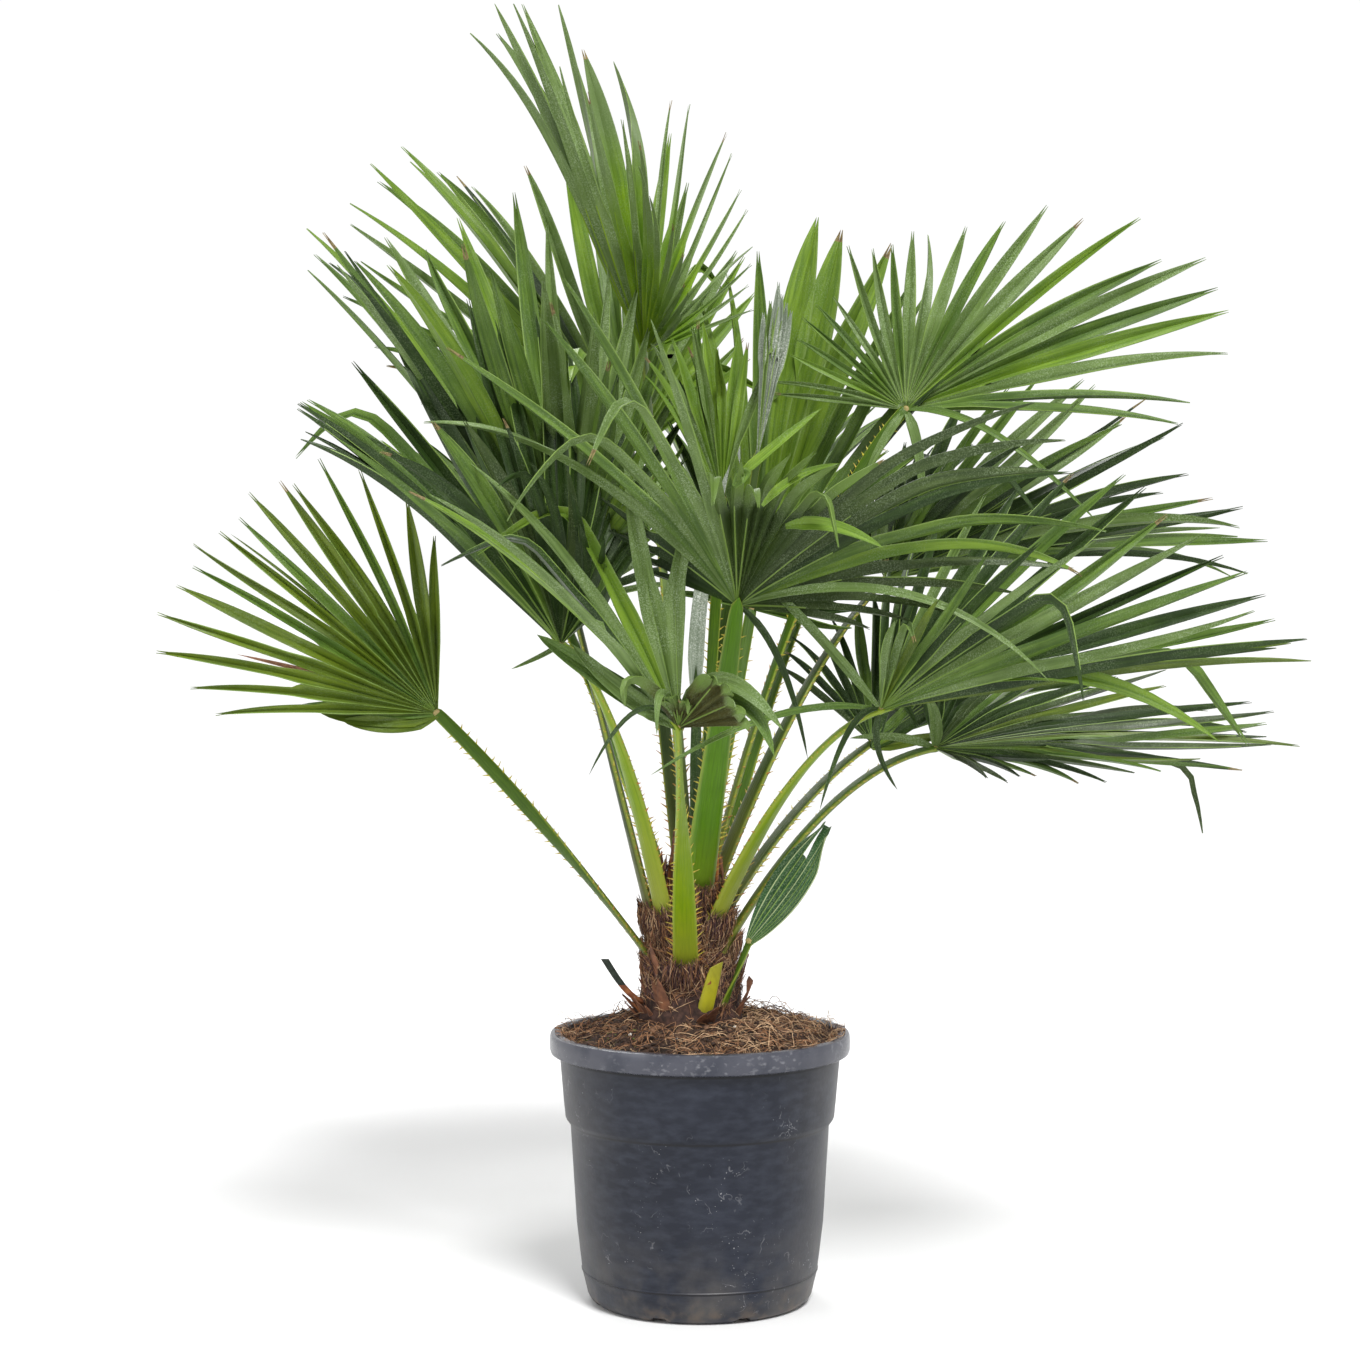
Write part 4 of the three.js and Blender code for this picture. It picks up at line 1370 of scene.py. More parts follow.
STRAYS = (
    Stray("spear", (-9, 8, 720), (30, 8, 840), 16, Tone.DOWN, (-4, 8, 590)),
    Stray("spear", (-4, 6, 540), (-4, 6, 640), 13, Tone.DARK, (-3, 4, 450)),
    Stray("l", (220, 100, 556), (262, 96, 566), 13, Tone.OLIVE, (180, 108, 549)),
    Stray("l", (215, 105, 572), (252, 100, 592), 13, Tone.DARK, (180, 108, 549)),
    Stray("l", (205, 108, 582), (238, 106, 612), 12, Tone.MID, (180, 108, 549)),
    Stray("l", (190, 110, 590), (212, 108, 630), 11, Tone.DARK, (180, 108, 549)),
    Stray("e", (-100, -236, 640), (-152, -232, 676), 22, Tone.MID),
    Stray("e", (-80, -240, 622), (-120, -240, 668), 18, Tone.SILVER),
    Stray("e", (10, -275, 677), (74, -285, 590), 20, Tone.SILVER),
    Stray("e", (42, -270, 652), (66, -280, 566), 18, Tone.MID),
    Stray("k", (200, 10, 572), (150, 0, 566), 9, Tone.SILVER),
    Stray("k", (240, -5, 590), (224, -5, 612), 13, Tone.SILVER),
    Stray("f", (-300, -70, 578), (-352, -66, 588), 24, Tone.OLIVE),
    Stray("f", (-310, -66, 588), (-372, -62, 594), 26, Tone.OLIVE),
    Stray("f", (-312, -64, 600), (-396, -60, 602), 18, Tone.MID),
    Stray("f", (-330, -60, 624), (-454, -60, 652), 7, Tone.DEAD),
    Stray("f", (-350, -60, 720), (-430, -60, 800), 4, Tone.MID),
    Stray("f", (-360, -60, 700), (-460, -60, 770), 4, Tone.OLIVE),
    Stray("j", (100, -200, 690), (32, -230, 749), 10, Tone.SILVER),
    Stray("g", (114, -310, 785), (161, -322, 756), 13, Tone.BRIGHT, (75, -296, 775)),
    Stray("g", (58, -350, 842), (105, -345, 879), 9, Tone.BRIGHT, (30, -340, 817)),
    Stray("g", (77, -345, 824), (121, -350, 830), 8, Tone.BRIGHT, (53, -335, 793)),
    Stray("g", (43, -350, 831), (35, -358, 812), 12, Tone.MID, (28, -340, 810)),
    Stray("g", (202, -270, 758), (316, -282, 634), 9, Tone.SILVER),
    Stray("j", (330, -230, 690), (478, -240, 577), 19, Tone.BRIGHT),
    Stray("h", (286, 20, 905), (399, 0, 780), 8, Tone.MID),
    Stray("d", (-148, -150, 654), (-179, -170, 642), 5, Tone.SILVER),
    Stray("e", (-57, -260, 644), (-103, -270, 549), 5, Tone.DARK),
    Stray("e", (-43, -270, 658), (-41, -280, 586), 9, Tone.SILVER),
    Stray("j", (73, -220, 624), (-47, -260, 548), 7, Tone.MID),
    Stray("j", (138, -190, 613), (111, -190, 509), 6, Tone.DARK),
    Stray("g", (78, -190, 674), (101, -170, 556), 7, Tone.DARK),
    Stray("j", (158, -140, 568), (188, -140, 525), 6, Tone.DARK),
    Stray("h", (225, 40, 865), (226, 50, 793), 11, Tone.SILVER),
    Stray("h", (182, 40, 865), (164, 40, 819), 9, Tone.SILVER),
)


@dataclass
class LooseLeaflets:
    """The leaflets that hang or stand away from their fans."""

    strays: tuple[Stray, ...] = STRAYS
    rows: int = 14
    fold: float = 0.4
    seen_from: Triple = (0, -1, 0.35)

    def build(self) -> Piece:
        """Model and dress all loose leaflets as one piece.

        Returns:
            The piece.
        """
        hubs = {plan.name: Vector(plan.hub) for plan in LEAVES}
        tones = list(dict.fromkeys(stray.tone for stray in self.strays))
        bm = bmesh.new()
        layer = bm.verts.layers.float_vector.new("vein")
        for stray in self.strays:
            start = Vector(stray.start or hubs[stray.leaf])
            self.lay_leaflet(bm, layer, stray, start, tones.index(stray.tone))
        weld(bm)
        return finish_blade(bm, "loose_leaflets", tones)

    def lay_leaflet(self, bm: Mesh, layer: Layer, stray: Stray, start: Vector, material: int) -> None:
        """Lay one leaflet as a folded strip.

        Args:
            bm: the mesh that grows.
            layer: the attribute that the veins follow.
            stray: the leaflet.
            start: where it begins.
            material: index of its finish.
        """
        via = Vector(stray.via)
        end = Vector(stray.end)

        def place(column: int, row: int) -> Vector:
            """Give the point of a column and row.

            Args:
                column: place across.
                row: place along.

            Returns:
                The point.
            """
            share = row / self.rows
            ahead = bent(start, via, end, share + 0.01)
            along = (ahead - bent(start, via, end, share - 0.01)).normalized()
            side = along.cross(Vector(self.seen_from)).normalized()
            up = side.cross(along)
            width = stray.wide / 2 * min(1.0, 0.35 + share * 3) * (1 - share ** 3) ** 0.8
            out = column - 1
            rise = up * (abs(out) * width * self.fold)
            return bent(start, via, end, share) + side * (out * width) + rise

        cells = lay_strip(bm, 2, self.rows, place)
        for vert, (column, row) in cells.items():
            vert[layer] = (column * 30.0 + end.x * 7, row * 12.0, row / self.rows)
        for face in faces_of(cells):
            face.material_index = material


@dataclass
class Stalk:
    """The toothed stalk of one leaf, flat-oval, with a knuckle that carries the blade."""

    plan: LeafPlan
    around: int = 16
    rows: int = 44
    knuckle: float = 6.9
    flatness: float = 0.46
    taper: float = 0.7
    trunk_axis: Triple = (-10, 2, 0)
    sunk_share: float = 0.05
    tooth_sides: int = 5
    first_tooth: float = 6.0
    last_tooth: float = 0.93
    crest_size: Triple = (3.8, 3.0, 1.5)
    crest_shifts: Triple = (0.0, 31.0, 62.0)

    def __post_init__(self) -> None:
        """Settle the stalk's curve."""
        plan = self.plan
        self.fan = Fan(plan)
        self.foot = Vector(plan.foot)
        self.middle = (self.foot + self.fan.hub) / 2
        self.middle.z += plan.lift
        outward = self.fan.hub - Vector(self.trunk_axis)
        outward.z = 0
        self.foot_across = quarter_on(outward.normalized())
        if self.foot_across.dot(self.fan.across) < 0:
            self.foot_across.negate()
        self.slim = min(self.knuckle * 0.85, plan.wide * 0.45)
        self.chance = random.Random(f"stalk {plan.name}")

    def at(self, share: float) -> Vector:
        """Give a point on the middle line.

        Args:
            share: place from the foot, 0, to the hub, 1; below 0 the line runs on into the trunk.

        Returns:
            The point.
        """
        if share < 0:
            ahead = bent(self.foot, self.middle, self.fan.hub, 0.02) - self.foot
            return self.foot + ahead * (share / 0.02)
        return bent(self.foot, self.middle, self.fan.hub, share)

    def section(self, share: float) -> tuple[Vector, Vector, Vector, float, float]:
        """Give the stalk's section at a place.

        Args:
            share: place from the foot, 0, to the hub, 1.

        Returns:
            Middle, wide way, high way, half width and half height.
        """
        along = (self.at(min(1, share + 0.01)) - self.at(min(1, share + 0.01) - 0.02)).normalized()
        across = self.foot_across.lerp(self.fan.across, smooth(share))
        wide = (across - along * across.dot(along)).normalized()
        high = along.cross(wide)
        inside = min(1.0, max(0.0, share))
        half = self.slim + (self.plan.wide / 2 - self.slim) * (1 - inside) ** self.taper
        half *= 1 + 0.5 * max(0.0, -share) / self.sunk_share
        end = smooth((share - 0.985) / 0.015)
        half = half * (1 - end) + self.knuckle * 0.8 * end
        thick = max(half * self.flatness, self.slim * 0.6)
        thick = thick * (1 - end) + self.knuckle * 0.6 * end
        return self.at(share), wide, high, half, thick

    def place(self, column: int, row: int) -> Vector:
        """Give a point of the skin.

        Args:
            column: place around.
            row: place along; the last rows run out under the blade.

        Returns:
            The point.
        """
        angle = column / self.around * TURN
        last = self.rows - 3
        share = -self.sunk_share + (1 + self.sunk_share) * min(row, last) / last
        middle, wide, high, half, thick = self.section(share)
        if row > last:
            past = row - last
            middle = middle + self.fan.aim * (4.5 * past) - self.fan.face * past
            shrink = (1.0, 0.62, 0.34, 0.0)[past]
            half *= shrink
            thick *= shrink
            wide = self.fan.across
            high = self.fan.face
        if row == 0:
            half = 0.0
            thick = 0.0
        lift = math.sin(angle)
        lift *= 0.62 if lift > 0 else 1.12
        return middle + wide * (math.cos(angle) * half) + high * (lift * thick)

    def add_tooth(self, bm: Mesh, share: float, hand: int) -> None:
        """Add one tooth on the stalk's edge.

        Args:
            bm: the mesh that grows.
            share: place along the stalk.
            hand: -1 for the left edge and 1 for the right.
        """
        chance = self.chance
        middle, wide, high, half, _ = self.section(share)
        along = (self.at(share + 0.01) - self.at(share)).normalized()
        length = chance.uniform(4.0, 9.0) * (1.15 - 0.55 * share)
        thick = chance.uniform(0.75, 1.2)
        lean = chance.uniform(-0.1, 0.8)
        out = (wide * hand + along * lean + high * chance.uniform(-0.25, 0.25)).normalized()
        root = middle + wide * (hand * (half - 0.8))
        turn = out.to_track_quat("Z", "Y").to_matrix().to_4x4()
        matrix = Matrix.Translation(root + out * (length / 2)) @ turn
        sides = self.tooth_sides
        made = bmesh.ops.create_cone(
            bm, cap_ends=True, segments=sides, radius1=thick, radius2=0.15, depth=length, matrix=matrix
        )["verts"]
        hook = along * (length * 0.22)
        for vert in made:
            reach = (vert.co - root).dot(out) / length
            vert.co += hook * max(0.0, reach) ** 2
        colour_faces(made, 3 if chance.random() < 0.75 - share * 1.6 else 1)

    def add_crest(self, bm: Mesh) -> None:
        """Add the small dry crest where the blade's ribs meet.

        Args:
            bm: the mesh that grows.
        """
        fan = self.fan
        turn = Matrix((fan.across, fan.aim, fan.face)).transposed().to_4x4()
        place = Matrix.Translation(fan.hub + fan.face * 1.4 + fan.aim)
        matrix = place @ turn @ Matrix.Diagonal((*self.crest_size, 1))
        made = bmesh.ops.create_icosphere(bm, subdivisions=2, radius=1.0, matrix=matrix)["verts"]
        for vert in made:
            spot = vert.co * 0.4
            shake = [noise.noise(spot + UP * shift) for shift in self.crest_shifts]
            vert.co += Vector(shake) * 0.9
        colour_faces(made, 2)

    def build(self) -> Piece:
        """Model and dress the stalk.

        Returns:
            The piece.
        """
        bm = bmesh.new()
        layer = bm.verts.layers.float_vector.new("vein")
        cells = lay_strip(bm, self.around, self.rows, self.place)
        length = (self.fan.hub - self.foot).length
        for vert, (column, row) in cells.items():
            share = row / self.rows
            vert[layer] = (math.cos(column / self.around * TURN), share * length, share)
        close_shell(bm)
        if self.plan.teeth:
            for hand in (-1, 1):
                reach = self.first_tooth
                while reach < length * self.last_tooth:
                    self.add_tooth(bm, reach / length, hand)
                    reach += self.chance.uniform(4.0, 10.0) * (1 + reach / length * 0.8)
        self.add_crest(bm)
        name = self.plan.name
        finishes = [self.plan.stalk, TOOTH, CREST, TOOTH_RED]
        return finish_piece(bm, f"leaf_stalk_{name}", finishes, Slot.STALK, (f"stalk_{name}",))


@dataclass
class NurseryPot:
    """A round container with a rolled rim, a collar, a stepped wall and drain notches."""

    steps: int = 144
    floor: float = 4.0
    notch_count: int = 8
    notch_height: float = 5.0
    notch_inner: float = 92.0
    notch_half: float = 8.6
    wavy_heights: Pair = (9.0, 248.0)
    wavy_radius: float = 105.0
    wave_scale: float = 0.016
    wave_flat: float = 0.6
    wave_depth: float = 0.9
    outline: tuple[Pair, ...] = (
        (60.0, 0.0), (91.4, 0.0), (92.4, 0.0), (101.0, 0.0), (105.5, 0.6), (108.6, 2.4), (111.2, 5.4),
        (113.0, 9.0), (117.6, 28.0), (118.1, 31.0), (118.9, 31.6), (119.0, 32.8), (118.5, 33.6),
        (121.0, 55.0), (124.0, 80.0), (127.4, 130.0), (130.3, 177.0), (131.0, 179.6), (134.6, 184.4),
        (135.5, 186.6), (136.8, 200.0), (140.9, 248.6), (142.0, 249.6), (148.2, 250.2), (149.7, 251.2),
        (150.9, 255.0), (151.0, 262.0), (150.6, 268.0), (149.6, 270.4), (147.6, 271.0), (141.0, 271.0),
        (138.8, 270.2), (138.0, 268.4),
    )
    inside: tuple[Pair, ...] = (
        (138.0, 250.0), (132.5, 186.0), (127.5, 180.0), (121.0, 80.0), (115.0, 30.0), (109.0, 4.0),
    )

    def build(self) -> Piece:
        """Model and dress the pot.

        Returns:
            The piece.
        """
        bm = bmesh.new()
        spin_profile(bm, ((0.0, 0.0), *self.outline, *self.inside, (0.0, self.floor)), self.steps)
        face_outwards(bm)
        for vert in bm.verts:
            self.shape(vert)
        return finish_piece(bm, "nursery_pot", [PotFinish()], Slot.POT, ("pot",), 34.0)

    def shape(self, vert: bmesh.types.BMVert) -> None:
        """Cut the drain notches in and give the wall the waviness of thin plastic.

        Args:
            vert: a corner of the pot.
        """
        radius = math.hypot(vert.co.x, vert.co.y)
        angle = math.atan2(vert.co.y, vert.co.x) / TURN * self.notch_count
        off = abs((angle - 0.5) - round(angle - 0.5)) / self.notch_count * TURN * max(radius, 1.0)
        low, high = self.wavy_heights
        if vert.co.z < self.notch_height and radius > self.notch_inner and off < self.notch_half:
            vert.co.z = self.notch_height
        elif low < vert.co.z < high and radius > self.wavy_radius:
            spot = Vector((vert.co.x, vert.co.y, vert.co.z * self.wave_flat))
            swell = noise.noise(spot * self.wave_scale) * self.wave_depth
            vert.co.x *= 1 + swell / radius
            vert.co.y *= 1 + swell / radius


@dataclass(frozen=True)
class Ground:
    """The top of the soil: a low mound with a rough surface and a hollow in front of the trunk."""

    plateau_height: float = 284.0
    plateau_radius: float = 74.0
    edge_height: float = 263.0
    edge_radius: float = 137.0
    rise: float = 0.75
    grain: float = 0.045
    rough: float = 4.5
    hollow_at: Pair = (-10.0, -82.0)
    hollow_spread: float = 320.0
    hollow_depth: float = 9.0

    def height(self, x: float, y: float) -> float:
        """Give the soil's height at a place.

        Args:
            x: right of the pot's axis.
            y: behind the pot's axis.

        Returns:
            The height.
        """
        out = (self.edge_radius - math.hypot(x, y)) / (self.edge_radius - self.plateau_radius)
        share = min(1.0, max(0.0, out))
        base = self.edge_height + (self.plateau_height - self.edge_height) * share ** self.rise
        rough = noise.fractal(Vector((x, y, 3.0)) * self.grain, 1.0, 2.0, 5)
        away = (x - self.hollow_at[0]) ** 2 + (y - self.hollow_at[1]) ** 2
        return base + rough * self.rough - self.hollow_depth * math.exp(-away / self.hollow_spread)


GROUND = Ground()


def lay_fibre(bm: Mesh, path: list[Vector], radius: float, material: int) -> None:
    """Add one thin closed fibre along a path.

    Args:
        bm: the mesh that grows.
        path: the points that it follows.
        radius: half its thickness.
        material: index of its finish.
    """
    rows = len(path) - 1

    def place(column: int, row: int) -> Vector:
        """Give the point of a column and row.

        Args:
            column: place across.
            row: place along.

        Returns:
            The point.
        """
        along = path[min(row + 1, rows)] - path[max(row - 1, 0)]
        side = along.cross(ASKEW).normalized()
        other = side.cross(along).normalized()
        angle = column / FIBRE_SIDES * TURN
        size = 0.0 if row in (0, rows) else radius * (1 - 0.4 * row / rows)
        return path[row] + side * (math.cos(angle) * size) + other * (math.sin(angle) * size)

    for face in faces_of(lay_strip(bm, FIBRE_SIDES, rows, place)):
        face.material_index = material


@dataclass(frozen=True)
class FlapRing:
    """Torn flaps of sheath that stand in a ring on the trunk.

    angles say where they stand, in radians, and stray how far each may stand from there. low is the
    range of heights of their feet, off the feet's distance from the skin, lean how far they tip out,
    and long and wide their sizes. weights are the shares of the brown and the reddish ones.
    """

    angles: tuple[float, ...]
    stray: float
    low: Pair
    off: float
    lean: Pair
    long: Pair
    wide: Pair
    weights: Pair


BETWEEN_STALKS = FlapRing(
    angles=tuple(index / 34 * TURN for index in range(34)), stray=0.1, low=(352, 398), off=-3.0,
    lean=(-0.32, 0.02), long=(38, 82), wide=(7, 15), weights=(3, 2),
)
ON_THE_TRUNK = FlapRing(
    angles=tuple(index / 22 * TURN for index in range(22)), stray=0.14, low=(286, 330), off=-1.0,
    lean=(0.1, 0.55), long=(18, 42), wide=(8, 18), weights=(4, 1),
)
AT_THE_FOOT = FlapRing(
    angles=tuple(math.radians(degrees) for degrees in (172, 184, 190, 199, 208, 222, 283, 291, 298)),
    stray=0.0, low=(282, 292), off=-1.0, lean=(0.3, 0.9), long=(12, 24), wide=(9, 15), weights=(5, 1),
)


@dataclass
class Trunk:
    """The short trunk, with its relief, the mat of fibres on it and the sheaths between the stalks."""

    axis_x: float = -10.0
    axis_y: float = 2.0
    profile: tuple[Pair, ...] = (
        (56.0, 284.3), (52.0, 300.0), (47.0, 330.0), (44.5, 358.0), (42.0, 381.0), (35.5, 402.0),
        (25.0, 420.0), (13.0, 434.0), (0.0, 440.0),
    )
    columns: int = 120
    rows: int = 70
    lobes: int = 5
    swell: float = 0.035
    grain: float = 0.09
    relief: float = 2.6
    inset: float = 1.5
    coat_fibres: int = 3600
    coat_heights: Triple = (286, 434, 340)
    coat_limits: Pair = (285.0, 438.0)
    tuft_fibres: int = 700
    tuft_heights: Pair = (366, 424)
    collar_fibres: int = 9
    rings: tuple[FlapRing, ...] = (BETWEEN_STALKS, ON_THE_TRUNK, AT_THE_FOOT)
    flap_columns: int = 4
    flap_rows: int = 8

    def radius(self, height: float) -> float:
        """Give the trunk's radius at a height.

        Args:
            height: height over the floor.

        Returns:
            The radius, which is 0 over the trunk's top.
        """
        for (wide, low), (slim, high) in zip(self.profile, self.profile[1:]):
            if height <= high:
                return wide + (slim - wide) * max(0.0, height - low) / (high - low)
        return 0.0

    def skin(self, angle: float, height: float, off: float = 0.0) -> Vector:
        """Give a point on the trunk's rough surface.

        Args:
            angle: round the axis, in radians.
            height: height over the floor.
            off: distance from the surface.

        Returns:
            The point.
        """
        radius = self.radius(height)
        swell = 1 + self.swell * math.sin(self.lobes * angle + height / 12)
        around = outwards(angle)
        spot = Vector((around.x * 60, around.y * 60, height)) * self.grain
        rough = noise.fractal(spot, 1.0, 2.0, 4) * self.relief
        out = max(0.0, radius * swell + rough - self.inset + off)
        return Vector((self.axis_x, self.axis_y, height)) + around * out

    def build_core(self) -> Piece:
        """Model and dress the trunk's body.

        Returns:
            The piece.
        """
        low = self.profile[0][1]
        high = self.profile[-1][1]

        def place(column: int, row: int) -> Vector:
            """Give the point of a column and row.

            Args:
                column: place across.
                row: place along.

            Returns:
                The point.
            """
            if row in (0, self.rows):
                return Vector((self.axis_x, self.axis_y, low if row == 0 else high))
            share = (row - 1) / (self.rows - 2)
            return self.skin(column / self.columns * TURN, low + (high - 2 - low) * share)

        bm = bmesh.new()
        lay_strip(bm, self.columns, self.rows, place)
        close_shell(bm)
        return finish_piece(bm, "trunk_core", [FIBRE_DARK], Slot.FIBRE, ("trunk",), 80.0)

    def build_fibres(self) -> Piece:
        """Model and dress the tangled fibres.

        Returns:
            The piece.
        """
        chance = random.Random("trunk fibres")
        heap = Heap()
        for _ in range(self.coat_fibres):
            self.lay_coat_fibre(heap.bench(), chance)
        for _ in range(self.tuft_fibres):
            self.lay_tuft_fibre(heap.bench(), chance)
        for plan in (*LEAVES, YOUNG):
            self.wrap_foot(heap, plan, chance)
        bm = heap.pour()
        close_shell(bm)
        finishes = [FIBRE_DARK, FIBRE_PLUM, FIBRE_MID, FIBRE_TAN]
        return finish_piece(bm, "trunk_fibres", finishes, Slot.FIBRE, (), FIBRE_CREASE)

    def lay_coat_fibre(self, bm: Mesh, chance: random.Random) -> None:
        """Lay one fibre of the mat that covers the trunk.

        Args:
            bm: the mesh that grows.
            chance: source of its irregularity.
        """
        angle = chance.uniform(0, TURN)
        height = chance.triangular(*self.coat_heights)
        off = chance.uniform(-0.4, 1.6)
        turn = chance.gauss(0, 0.05)
        climb = chance.choice((0.4, 1.0, 1.0, 1.5)) * chance.uniform(1.5, 4.6)
        flare = chance.choice((0.0, 0.3, 0.8, 1.5))
        lowest, highest = self.coat_limits
        path = []
        for step in range(chance.randint(5, 7)):
            path.append(self.skin(angle, min(highest, max(lowest, height)), off))
            angle += turn + chance.gauss(0, 0.02)
            height += climb + chance.gauss(0, 0.8)
            off += flare * step * 0.5 + chance.gauss(0, 0.35)
        lay_fibre(bm, path, chance.uniform(0.25, 0.6), pick(chance, 2, 3, 6, 5))

    def lay_tuft_fibre(self, bm: Mesh, chance: random.Random) -> None:
        """Lay one fibre of the tufts that stand up round the stalks.

        Args:
            bm: the mesh that grows.
            chance: source of its irregularity.
        """
        angle = chance.uniform(0, TURN)
        height = chance.uniform(*self.tuft_heights)
        root = self.skin(angle, height, -1.0)
        lean = outwards(angle) * chance.uniform(0.0, 0.5)
        side = quarter_on(outwards(angle)) * chance.gauss(0, 0.25)
        way = (UP + lean + side).normalized()
        length = chance.uniform(8, 30)
        path = []
        for step in range(5):
            shake = shaken(chance) * (0.5 * step ** 0.5)
            path.append(root + way * (length * step / 4) + shake)
        lay_fibre(bm, path, chance.uniform(0.35, 0.9), pick(chance, 3, 5, 3, 1))

    def wrap_foot(self, heap: Heap, plan: LeafPlan, chance: random.Random) -> None:
        """Lay a ragged collar of fibres over the foot of a stalk.

        Args:
            heap: gathers the fibres.
            plan: the leaf's sizes.
            chance: source of their irregularity.
        """
        wide = plan.wide
        outward = Vector((plan.hub[0] - self.axis_x, plan.hub[1] - self.axis_y, 0)).normalized()
        side = quarter_on(outward)
        along = ((Vector(plan.hub) - Vector(plan.foot)) / 2 + UP * plan.lift).normalized()
        sunk = self.radius(plan.foot[2]) - math.hypot(plan.foot[0] - self.axis_x, plan.foot[1] - self.axis_y)
        foot = Vector(plan.foot) + along * min(wide * 0.55, max(0.0, sunk * 1.4))
        front = side.cross(along).normalized()
        for _ in range(round(wide * self.collar_fibres)):
            share = chance.uniform(-0.75, 0.75)
            edge = foot + side * (wide * share) + front * (wide * (0.44 - 0.5 * share * share))
            edge += along * (wide * chance.triangular(-0.3, 0.5, -0.1))
            low = edge - UP * chance.uniform(6, 24) - outward * chance.uniform(0, 3)
            low += side * chance.gauss(0, 4)
            way = (along + front * chance.uniform(0.0, 0.22) + side * chance.gauss(0, 0.45)).normalized()
            length = chance.uniform(2, 14) * (0.45 + abs(share))
            middle = low.lerp(edge, 0.5) + outward * 1.5
            path = []
            for at in (low, middle, edge, edge + way * length / 2, edge + way * length):
                path.append(at + shaken(chance) * 0.8)
            lay_fibre(heap.bench(), path, chance.uniform(0.3, 0.7), pick(chance, 3, 4, 4, 2))

    def build_sheaths(self) -> Piece:
        """Model and dress the old sheaths that stand between the stalks and at the trunk's foot.

        Returns:
            The piece.
        """
        chance = random.Random("trunk sheaths")
        bm = bmesh.new()
        for ring in self.rings:
            for angle in ring.angles:
                self.lay_flap(bm, ring, angle, chance)
        weld(bm)
        bmesh.ops.solidify(bm, geom=bm.faces[:], thickness=SHEATH_THICKNESS)
        return finish_piece(bm, "trunk_sheaths", [SHEATH, SHEATH_RED], Slot.FIBRE, (), 50.0)

    def lay_flap(self, bm: Mesh, ring: FlapRing, angle: float, chance: random.Random) -> None:
        """Add one torn flap of sheath.

        Args:
            bm: the mesh that grows.
            ring: the ring that it stands in.
            angle: its place in the ring, in radians.
            chance: source of its irregularity.
        """
        if ring.stray:
            angle += chance.uniform(-ring.stray, ring.stray)
        outward = outwards(angle)
        side = quarter_on(outward)
        root = self.skin(angle, chance.uniform(*ring.low), ring.off)
        lean = outward * chance.uniform(*ring.lean)
        top = root + (UP + lean).normalized() * chance.uniform(*ring.long)
        wide = chance.uniform(*ring.wide)
        material = pick(chance, *ring.weights)
        curl = chance.uniform(-4, 7)
        jags = [chance.uniform(-0.5, 0.5) for _ in range(self.flap_columns + 1)]

        def place(column: int, row: int) -> Vector:
            """Give the point of a column and row.

            Args:
                column: place across.
                row: place along.

            Returns:
                The point.
            """
            share = row / self.flap_rows
            across = column / self.flap_columns * 2 - 1
            width = wide / 2 * (1 - share ** 1.6) ** 0.7
            at = root.lerp(top, share * (1 + 0.12 * jags[column] * share))
            cup = outward * (-0.3 * wide * across * across * (1 - share) + curl * share * share)
            return at + side * (across * width) + cup

        for face in faces_of(lay_strip(bm, self.flap_columns, self.flap_rows, place)):
            face.material_index = material


@dataclass(frozen=True)
class OldStub:
    """An old leaf base, with another finish from end_row upwards.

    half is half its width at the foot and taper what that loses further up, evenly or eased. slant
    raises one side of its top, and sag lets its middle hang.
    """

    name: str
    node: str
    finishes: tuple[PlainFinish, PlainFinish]
    foot: Triple
    top: Triple
    around: int
    rows: int
    end_row: int
    half: float
    taper: float
    flatness: float
    slant: float = 0.0
    sag: float = 0.0
    eased: bool = False

    def place(self, column: int, row: int) -> Vector:
        """Give a point of the skin, whose first and last row close it.

        Args:
            column: place around.
            row: place along.

        Returns:
            The point.
        """
        angle = column / self.around * TURN
        share = min(self.rows - 2, max(0, row - 1)) / (self.rows - 2)
        size = 0.0 if row in (0, self.rows) else 1.0
        width = (self.half - self.taper * (smooth(share * 1.6) if self.eased else share)) * size
        out = Vector((math.cos(angle) * width, math.sin(angle) * width * self.flatness, 0))
        slant = UP * (math.cos(angle) * self.slant * smooth(share * 4 - 3) * size)
        sag = UP * (-self.sag * math.sin(math.pi * share))
        return Vector(self.foot).lerp(Vector(self.top), share) + sag + out + slant

    def build(self) -> Piece:
        """Model and dress the base.

        Returns:
            The piece.
        """
        bm = bmesh.new()
        for face, (_, row) in faces_of(lay_strip(bm, self.around, self.rows, self.place)).items():
            face.material_index = 1 if row >= self.end_row else 0
        close_shell(bm)
        return finish_piece(bm, self.name, list(self.finishes), Slot.STUB, (self.node,))


OLD_STUBS = (
    OldStub(
        "old_stub_cut", "stub_cut", (STUB_SKIN, CUT_WOOD), foot=(4, -42, 296), top=(16, -60, 346),
        around=16, rows=8, end_row=7, half=8.2, taper=1.8, flatness=0.5, slant=3.2,
    ),
    OldStub(
        "old_stub_left", "stub_left", (SHEATH_RED, DARK_END), foot=(-50, -8, 298), top=(-95, -18, 346),
        around=12, rows=10, end_row=6, half=6.2, taper=2.2, flatness=0.7, sag=9.0, eased=True,
    ),
)


